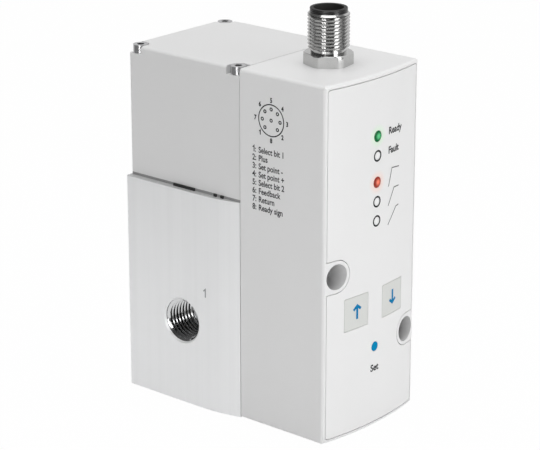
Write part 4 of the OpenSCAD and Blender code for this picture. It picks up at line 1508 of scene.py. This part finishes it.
@dataclass
class CableConnector:
    """The connector's shell: hexagon, undercut and a true helical thread."""

    hex_af: float = 13.2
    hex_h: float = 3.4
    hex_turn: float = 9.4
    undercut_h: float = 1.15
    undercut_r: float = 5.1
    edge_cut: float = 0.46
    edge_break: float = 0.06
    bevel_r: float = 6.75
    bevel_angle: float = 30.0
    thread: ThreadForm = ThreadForm(6.0, 5.42, 1.0)
    run_out: float = 2.0
    lead: float = 0.5
    bore_r: float = 4.9
    rim_h: float = 1.2
    rim_r: float = 5.38
    rim_up: float = 0.02
    rim_round: float = 0.2
    groove_r: float = 5.2
    groove_z: tuple[float, ...] = (0.5, 0.58, 0.66, 0.74)
    sides: int = 180
    shell_crisp: float = 16.0

    def foot(self) -> Vector:
        """Foot of the connector's axis on the housing's top, in millimetres.

        Returns:
            The point.
        """
        low, high = box_mm("connector_insert")
        middle = (low + high) / 2
        return Vector((middle.x, middle.y, box_mm("front_housing")[1].z))

    def thread_top(self) -> float:
        """Height of the thread's end above the housing's top."""
        return box_mm("connector_insert")[1].z - self.rim_h - self.foot().z

    def hex_radius(self, angle: float) -> float:
        """Radius of the hexagon at an angle.

        Args:
            angle: The angle about the connector's axis.

        Returns:
            The radius, cut back at the corners.
        """
        turn = math.radians(60.0)
        off_flat = (angle - math.radians(self.hex_turn + 30.0) + turn / 2) % turn - turn / 2
        corner_r = self.hex_af / math.sqrt(3.0) - self.edge_cut
        return min(corner_r, self.hex_af / 2 / math.cos(off_flat))

    def build(self) -> None:
        """Make the shell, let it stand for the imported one, and add the insulator's rim."""
        foot = self.foot()
        shape = Shape()
        self._hexagon(shape)
        self._barrel(shape)
        shell = shape.shifted(foot).make(
            "connector_threaded_shell", Dress.nickel, Body.REGULATOR, Slot.NICKEL
        )
        weld(shell)
        sharpen(shell, self.shell_crisp)
        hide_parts("connector_shell")
        rim = Shape()
        self._rim(rim)
        rings = rim.shifted(foot).make(
            "connector_rim", Dress.rim_plastic, Body.REGULATOR, Slot.INK
        )
        sharpen(rings)

    def _rim(self, shape: Shape) -> None:
        """Add the insulator's rim above the thread: two beads with a groove between them.

        Args:
            shape: The shape that takes it.
        """
        foot = self.thread_top() + self.rim_up
        out, inward = self.rim_r, self.groove_r
        bead_top, groove_low, groove_high, bead_foot = self.groove_z
        profile = (
            (self.bore_r, 0.0), (out, 0.0), (out, bead_top), (inward, groove_low),
            (inward, groove_high), (out, bead_foot), (out, self.rim_h - self.rim_round),
            (out - self.rim_round, self.rim_h),
        )
        rows = [circle(radius, foot + height) for radius, height in profile]
        shape.lathe(rows, self.sides, closed=True)

    def _hexagon(self, shape: Shape) -> None:
        """Add the hexagon, its corners turned down and bevelled on top, and the undercut.

        Args:
            shape: The shape that takes them.
        """
        bevel = math.tan(math.radians(self.bevel_angle))

        def face_r(angle: float) -> float:
            """Radius of the top face at an angle."""
            return min(self.bevel_r, self.hex_radius(angle))

        def shoulder(angle: float) -> float:
            """Height at which the side ends at an angle."""
            cut = (self.hex_radius(angle) - face_r(angle)) * bevel
            return self.hex_h - cut - self.edge_break

        rows = [
            circle(self.bore_r, 0.0),
            lambda angle: (self.hex_radius(angle), 0.0),
            lambda angle: (self.hex_radius(angle), shoulder(angle)),
            lambda angle: (face_r(angle) - self.edge_break, self.hex_h),
            circle(self.undercut_r, self.hex_h),
            circle(self.undercut_r, self.hex_h + self.undercut_h),
        ]
        shape.lathe(rows, self.sides)

    def _barrel(self, shape: Shape) -> None:
        """Add the thread, the top chamfer and the bore.

        Args:
            shape: The shape that takes them.
        """
        start = self.hex_h + self.undercut_h
        top = self.thread_top()
        form = self.thread

        def limit(height: float, radius: float) -> float:
            """Let the thread rise out of the undercut."""
            reach = self.undercut_r + (height - start) * self.run_out
            return max(self.undercut_r, min(radius, reach))

        shape.helix(form, start, top - self.lead, self.sides, limit)
        rows = [
            form.end_ring(top - self.lead, self.sides, upper=True),
            circle(form.major_r, top - self.lead),
            circle(form.major_r - self.lead, top),
            circle(self.bore_r, top),
            circle(self.bore_r, 0.0),
        ]
        shape.lathe(rows, self.sides)


class Way(Enum):
    """Which way a port opens."""

    LEFT = (-1.0, 0.0, 0.0)
    RIGHT = (1.0, 0.0, 0.0)
    DOWN = (0.0, 0.0, -1.0)


@dataclass
class PortThread:
    """The cut thread inside one port, from its countersink to its end."""

    name: str
    mouth: Vector
    way: Way
    depth: float
    thread: ThreadForm = ThreadForm(6.56, 5.75, 1.337)
    lead: float = 0.5
    sides: int = 96

    def build(self) -> None:
        """Make the thread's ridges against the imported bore."""
        outward = Vector(self.way.value)
        side = Vector((0.0, 1.0, 0.0))
        third = outward.cross(side)
        form = self.thread

        def limit(height: float, radius: float) -> float:
            """Cut the thread back at the countersink."""
            return min(form.major_r, max(form.major_r + self.lead + height, radius))

        shape = Shape()
        shape.helix(form, -self.depth, -self.lead, self.sides, limit)
        rows = [
            circle(form.major_r, -self.lead),
            circle(form.major_r, -self.depth),
            form.end_ring(-self.depth, self.sides, upper=False),
        ]
        shape.lathe(rows, self.sides)
        placed = shape.moved(
            lambda point: self.mouth + side * point.x + third * point.y + outward * point.z
        )
        made = placed.make(self.name, Dress.bright_thread, Body.REGULATOR, Slot.BARE_METAL)
        weld(made)
        sharpen(made)


def port_threads() -> list[PortThread]:
    """The three ports' threads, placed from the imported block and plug.

    Returns:
        The supply's, the outlet's and the exhaust's thread.
    """
    supply_z, outlet_z = 25.8, 48.6
    side_depth, plug_depth = 11.4, 9.0
    block_low, block_high = box_mm("valve_block")
    plug_low, plug_high = box_mm("exhaust_plug")
    axis_y = (plug_low.y + plug_high.y) / 2
    supply = Vector((block_low.x, axis_y, supply_z))
    outlet = Vector((block_high.x, axis_y, outlet_z))
    exhaust = Vector((0.0, axis_y, plug_low.z))
    return [
        PortThread("supply_thread", supply, Way.LEFT, side_depth),
        PortThread("outlet_thread", outlet, Way.RIGHT, side_depth),
        PortThread("exhaust_thread", exhaust, Way.DOWN, plug_depth),
    ]


class End(Enum):
    """Which end of a spring stays in place."""

    LOW = 0
    HIGH = 1


@dataclass(frozen=True)
class ReturnSpring:
    """A return spring of round wire."""

    node: str
    joint: str
    stroke: float
    wire_r: float
    fixed: End
    slack: float = 0.02
    crisp: float = 60.0

    def build(self) -> None:
        """Wind the spring in its node's place."""
        corners = box_mm(self.node)
        low, high = corners
        height = high.z - low.z
        foot = Vector(((low.x + high.x) / 2, (low.y + high.y) / 2, low.z + self.slack))
        wind = WireCoil((high.x - low.x) / 2 - self.wire_r, self.wire_r)
        shape = Shape()
        shape.coil(wind, height - 2 * self.slack)
        made = shape.shifted(foot).make(
            f"{self.node}_wire", Dress.steel, Body.REGULATOR, Slot.STEEL
        )
        sharpen(made, self.crisp)
        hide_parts(self.node)
        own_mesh(made)


RETURN_SPRINGS = (
    ReturnSpring("poppet_spring", "poppet_open", 1.5, 0.55, End.LOW),
    ReturnSpring("fill_armature_spring", "fill_armature_lift", 0.4, 0.14, End.HIGH),
    ReturnSpring("vent_armature_spring", "vent_armature_lift", 0.4, 0.14, End.HIGH),
)


@dataclass
class ValveDiaphragm:
    """The rubber diaphragm: a disc between the tappet's plates, a rolled wall and a clamped rim.

    The roll's crown goes down with the poppet. Its inner leg ends on the tappet and its outer leg
    on the rim.
    """

    bore_r: float = 2.05
    middle_r: float = 12.5
    roll_r: float = 1.12
    wall_t: float = 0.45
    leg_h: float = 2.6
    sheet_t: float = 0.8
    hole_pitch_r: float = 16.2
    hole_sides: int = 32
    screw_hole_r: float = 1.3
    screw_turns: tuple[float, ...] = (0.0, 90.0, 180.0, 270.0)
    feed_hole_r: float = 0.8
    feed_turn: float = 135.0
    slack: float = 0.02
    sides: int = 96
    steps: int = 8

    def build(self) -> None:
        """Make the disc with its leg and the rim with its leg."""
        low, high = box_mm("diaphragm")
        seat = Vector((0.0, (low.y + high.y) / 2, low.z))
        bottom, top = self.slack, self.sheet_t - self.slack
        under = self._wall(self.roll_r - self.wall_t / 2, bottom)
        over = self._wall(self.roll_r + self.wall_t / 2, top)
        disc = [
            (self.bore_r, bottom),
            *((self.middle_r - off, height) for off, height in under),
            *((self.middle_r - off, height) for off, height in reversed(over)),
            (self.bore_r, top),
        ]
        rim = [
            (high.x, bottom),
            (high.x, top),
            *((self.middle_r + off, height) for off, height in over),
            *((self.middle_r + off, height) for off, height in reversed(under)),
        ]
        self._piece("diaphragm_disc", disc, seat, Body.TAPPET)
        self._piece("diaphragm_rim", rim, seat, Body.REGULATOR)

    def _wall(self, reach: float, foot: float) -> list[Point2]:
        """One face of the roll from its foot to its crown.

        Args:
            reach: How far the face's leg stands from the roll's middle.
            foot: Height of its foot.

        Returns:
            Its points, as (distance from the roll's middle, height).
        """
        crown = self.sheet_t + self.leg_h
        rises = [self.leg_h * step / self.steps for step in range(self.steps)]
        leg = [(reach, self.sheet_t + rise) for rise in rises]
        quarter = [math.pi / 2 * step / self.steps for step in range(self.steps + 1)]
        turn = [polar(reach, angle, (0.0, crown)) for angle in quarter]
        return [(reach, foot), *leg, *turn]

    def _piece(self, name: str, profile: Sequence[Point2], seat: Vector, body: Body) -> None:
        """Turn a half section into a rubber piece about the seat's axis.

        Args:
            name: The piece's name.
            profile: Its half section, as (radius, height).
            seat: The foot of its axis.
            body: The body at its foot; only the regulator's piece has its holes cut.
        """
        shape = Shape()
        rows = [circle(radius, height) for radius, height in profile]
        shape.lathe(rows, self.sides, closed=True)
        made = shape.shifted(seat).make(name, Dress.rubber, None, Slot.RUBBER)
        if body is Body.REGULATOR:
            self._punch(made, seat)
            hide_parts("diaphragm")
        sharpen(made)
        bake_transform(made)

    def _punch(self, rim: bpy.types.Object, seat: Vector) -> None:
        """Cut the holes for the plate's screws and the pilot feed.

        Args:
            rim: The piece that is cut.
            seat: The foot of its axis.
        """
        holes = [(turn, self.screw_hole_r) for turn in self.screw_turns]
        pegs = Shape()
        for turn, radius in (*holes, (self.feed_turn, self.feed_hole_r)):
            centre = polar(self.hole_pitch_r, math.radians(turn))
            pegs.prism(centre, radius, -self.sheet_t, 2 * self.sheet_t, self.hole_sides)
        punch = pegs.shifted(seat).place("rim_punch")
        cut = rim.modifiers.new("holes", "BOOLEAN")
        cut.operation, cut.solver, cut.object = "DIFFERENCE", "EXACT", punch
        whole = rim.evaluated_get(bpy.context.evaluated_depsgraph_get())
        rim.data = bpy.data.meshes.new_from_object(whole)
        rim.modifiers.clear()
        bpy.data.objects.remove(punch)


# Studio


@dataclass(frozen=True)
class Strip:
    """A white strip on the tent's wall: its ends around it, in turns, and up it, in metres."""

    turn: Point2
    height: Point2
    level: float


@dataclass(frozen=True)
class Softbox:
    """A rectangular lamp: where it hangs and what it faces, its size in metres, its watts."""

    name: str
    at: Triple
    toward: Triple
    width: float
    height: float
    power: float

    def build(self) -> None:
        """Hang the lamp."""
        data = bpy.data.lights.new(self.name, "AREA")
        data.shape = "RECTANGLE"
        data.size = self.width
        data.size_y = self.height
        data.energy = self.power
        lamp = link(self.name, data)
        lamp.location = self.at
        aim = Vector(self.toward) - Vector(self.at)
        lamp.rotation_euler = aim.to_track_quat("-Z", "Y").to_euler()


@dataclass
class Studio:
    """Camera, lights, floor and backdrop."""

    lens_mm: float = 150.99
    sensor_mm: float = 36.0
    clip_start: float = 0.01
    camera_at: Triple = (-482.04, -411.75, 268.45)
    camera_yaw: float = 49.376
    camera_pitch: float = -18.737
    world_level: float = 0.28
    white: float = 1.0
    floor_size: float = 8.0
    floor_z: float = -0.0002
    floor_grey: float = 0.84
    floor_white: float = 0.98
    tent_at: Point2 = (0.0, -0.02)
    tent_r: float = 0.28
    tent_h: float = 0.60
    tent_sides: int = 96
    tent_level: float = 2.3
    tent_black: float = 0.02
    tent_low: tuple[Point2, ...] = (
        (0.000, 0.40), (0.270, 0.40), (0.330, 0.11), (0.540, 0.11), (0.566, 0.02), (0.702, 0.02),
        (0.786, 0.10), (0.900, 0.10), (0.940, 0.40),
    )
    tent_high: tuple[Point2, ...] = (
        (0.000, 0.36), (0.030, 0.34), (0.060, 0.30), (0.170, 0.30), (0.230, 0.06), (0.566, 0.02),
        (0.702, 0.02), (0.780, 0.08), (0.930, 0.12), (0.955, 0.36),
    )
    tent_change_z: Point2 = (0.05, 0.09)
    tent_strips: tuple[Strip, ...] = (
        Strip((0.540, 0.561), (0.0, 0.17), 1.7),
        Strip((0.706, 0.774), (0.0, 0.60), 1.4),
        Strip((0.504, 0.529), (0.034, 0.070), 1.5),
    )
    card_turn: Point2 = (0.490, 0.556)
    card_r: Point2 = (0.100, 0.190)
    card_z: float = 0.0006
    card_steps: int = 8
    card_end_share: float = 0.995
    lid_near_side: float = 0.06
    lid_strip_y: Point2 = (0.119, 0.144)
    lid_panel_x: float = 0.165
    softboxes: tuple[Softbox, ...] = (
        Softbox("front_softbox", (0.24, -1.12, 0.06), (0.0, 0.0, 0.01), 0.75, 0.70, 7.9),
        Softbox("top_softbox", (-0.05, 0.10, 1.30), (0.0, 0.0, 0.08), 1.00, 1.00, 11.2),
        Softbox("left_strip", (-1.02, -0.68, 0.20), (0.0, 0.0, 0.04), 0.10, 0.60, 3.5),
    )

    def build(self) -> None:
        """Set up everything around the part."""
        bpy.context.scene.view_settings.view_transform = "Standard"
        self._camera()
        self._world()
        self._floor()
        self._tent()
        for softbox in self.softboxes:
            softbox.build()
        LOG.info("studio set up")

    def _camera(self) -> None:
        """Place the camera where the photograph was taken from."""
        data = bpy.data.cameras.new("photo_camera")
        data.lens = self.lens_mm
        data.sensor_fit = "HORIZONTAL"
        data.sensor_width = self.sensor_mm
        data.clip_start = self.clip_start
        camera = link("photo_camera", data)
        camera.location = Vector(self.camera_at) * MM
        tilt = math.radians(90.0 + self.camera_pitch)
        camera.rotation_euler = (tilt, 0.0, -math.radians(self.camera_yaw))
        bpy.context.scene.camera = camera

    def _seen(self, graph: Graph) -> Wire:
        """Tell the rays that show the background.

        Args:
            graph: The tree of the background's material or world.

        Returns:
            1 for rays from the camera, or by reflection or refraction, else 0.
        """
        path = graph.node("ShaderNodeLightPath", output="Is Camera Ray")
        node = path.socket.node
        glossy = Wire(graph, node.outputs["Is Glossy Ray"])
        through = Wire(graph, node.outputs["Is Transmission Ray"])
        return graph.math("MINIMUM", path + glossy + through, 1.0)

    def _world(self) -> None:
        """A soft even surround that shows white behind the part."""
        world = bpy.data.worlds.new("studio")
        bpy.context.scene.world = world
        graph = Graph(world)
        dim, white = (
            graph.node("ShaderNodeBackground", {}, {"Color": WHITE, "Strength": level})
            for level in (self.world_level, self.white)
        )
        shown = graph.node("ShaderNodeMixShader", {}, {0: self._seen(graph), 1: dim, 2: white})
        graph.node("ShaderNodeOutputWorld", {}, {"Surface": shown})

    def _floor(self) -> None:
        """A white floor that keeps a faint shadow under the part."""
        half = self.floor_size / 2
        mesh = bpy.data.meshes.new("studio_floor")
        signs = ((-1, -1), (1, -1), (1, 1), (-1, 1))
        corners = [(x * half, y * half, self.floor_z) for x, y in signs]
        mesh.from_pydata(corners, [], [(0, 1, 2, 3)])
        floor = link("studio_floor", mesh)
        material = bpy.data.materials.new("studio_white")
        graph = Graph(material)
        matt = graph.node("ShaderNodeBsdfDiffuse", {}, {"Color": (self.floor_grey,) * 3})
        white = graph.node("ShaderNodeEmission", {}, {"Color": WHITE, "Strength": self.white})
        share = self._seen(graph) * self.floor_white
        shown = graph.node("ShaderNodeMixShader", {}, {0: share, 1: matt, 2: white})
        graph.node("ShaderNodeOutputMaterial", {}, {"Surface": shown})
        mesh.materials.append(material)

    def _tent(self) -> None:
        """A tent of grey and white cloth around the set that only mirror-like surfaces show."""
        sides, steps = self.tent_sides, self.card_steps
        rings = [
            (*polar(self.tent_r, angle, self.tent_at), height)
            for height in (0.0, self.tent_h)
            for angle in whole_turn(sides)
        ]
        self._cloth("studio_tent_wall", rings, band(0, sides, sides), self._wall_shade)
        self._cloth("studio_tent_lid", rings[sides:], [tuple(range(sides))], self._lid_shade)
        start, end = (math.tau * turn for turn in self.card_turn)
        arc = [start + (end - start) * step / steps for step in range(steps + 1)]
        corners = [
            (*polar(radius, angle, self.tent_at), self.card_z)
            for radius in (self.card_r[0], self.tent_r * self.card_end_share)
            for angle in arc
        ]
        card = [(step, step + 1, steps + 2 + step, steps + 1 + step) for step in range(steps)]
        self._cloth("studio_floor_card", corners, card, self._card_shade)

    def _cloth(
        self,
        name: str,
        points: Sequence[Sequence[float]],
        faces: Sequence[Sequence[int]],
        shade: Callable[[Graph, Wire], Wire],
    ) -> None:
        """Hang one glowing cloth that only reflections show.

        Args:
            name: The cloth's name.
            points: Its points in metres.
            faces: Its faces.
            shade: Builds its brightness from the place on it.
        """
        mesh = bpy.data.meshes.new(name)
        mesh.from_pydata(points, [], faces)
        cloth = link(name, mesh)
        cloth.visible_camera = False
        cloth.visible_diffuse = False
        cloth.visible_transmission = False
        cloth.visible_volume_scatter = False
        cloth.visible_shadow = False
        material = bpy.data.materials.new(name)
        graph = Graph(material)
        place = graph.node("ShaderNodeTexCoord", output="Object")
        offset = graph.vector("SUBTRACT", place, (*self.tent_at, 0.0))
        inputs = {"Color": shade(graph, offset), "Strength": self.tent_level}
        glow = graph.node("ShaderNodeEmission", {}, inputs)
        graph.node("ShaderNodeOutputMaterial", {}, {"Surface": glow})
        mesh.materials.append(material)

    def _wall_shade(self, graph: Graph, offset: Wire) -> Wire:
        """Shade the tent's wall: grey by direction, darker above its foot, with white strips.

        Args:
            graph: The cloth's tree.
            offset: The place from the foot of the tent's axis, in metres.

        Returns:
            Its brightness.
        """
        turn = graph.math("ARCTAN2", graph.along(offset, "Y"), graph.along(offset, "X")) / math.tau
        share = graph.math("FRACT", turn + 1.0)
        shades = []
        for stops in (self.tent_low, self.tent_high):
            greys = [(place, (level,) * 3) for place, level in stops]
            ramp = graph.node("ShaderNodeValToRGB", {"stops": greys}, {"Fac": share}, "Color")
            shades.append(ramp)
        height = graph.along(offset, "Z")
        wall = graph.blend(graph.fade(height, *self.tent_change_z), shades[1], shades[0])
        for strip in self.tent_strips:
            around = self._between(graph, share, strip.turn)
            white = around * self._between(graph, height, strip.height)
            wall = graph.blend(white, wall, (strip.level,) * 3)
        return wall

    @staticmethod
    def _between(graph: Graph, value: Wire, ends: Point2) -> Wire:
        """1 where a value lies between two ends, else 0."""
        return graph.math("GREATER_THAN", value, ends[0]) * graph.math("LESS_THAN", value, ends[1])

    def _card_shade(self, graph: Graph, offset: Wire) -> Wire:
        """Shade the floor card: floor white at its near edge, black towards the wall.

        Args:
            graph: The cloth's tree.
            offset: The place from the foot of the tent's axis, in metres.

        Returns:
            Its brightness.
        """
        away = graph.distance(offset, (0.0, 0.0, 0.0), (1.0, 1.0, 0.0))
        near_level = self.floor_white / self.tent_level
        return graph.fade(away, *self.card_r) * near_level + self.tent_black

    def _lid_shade(self, graph: Graph, offset: Wire) -> Wire:
        """Shade the tent's lid: white on the camera's side, a strip and a panel on the far side.

        Args:
            graph: The cloth's tree.
            offset: The place from the foot of the tent's axis, in metres.

        Returns:
            Its brightness.
        """
        x, y = graph.along(offset, "X"), graph.along(offset, "Y")
        yaw = math.radians(self.camera_yaw)
        near = x * -math.sin(yaw) + y * -math.cos(yaw)
        strip = self._between(graph, y, self.lid_strip_y)
        bright = graph.math("GREATER_THAN", near, self.lid_near_side) + strip
        panel = graph.math("GREATER_THAN", x, self.lid_panel_x)
        return graph.math("MINIMUM", bright + panel + self.tent_black, 1.0)


def main() -> None:
    """Dress the regulator and set up the studio."""
    logging.basicConfig(level=logging.INFO, format="%(name)s: %(message)s")
    Studio().build()
    Dress.put_on_all()
    CoverGasket().dress()
    Housing().dress()
    panel = ControlPanel()
    panel.dress()
    panel.build()
    SideMarks().build()
    CableConnector().build()
    for thread in port_threads():
        thread.build()
    for spring in RETURN_SPRINGS:
        spring.build()
    ValveDiaphragm().build()


if __name__ == "__main__":
    main()
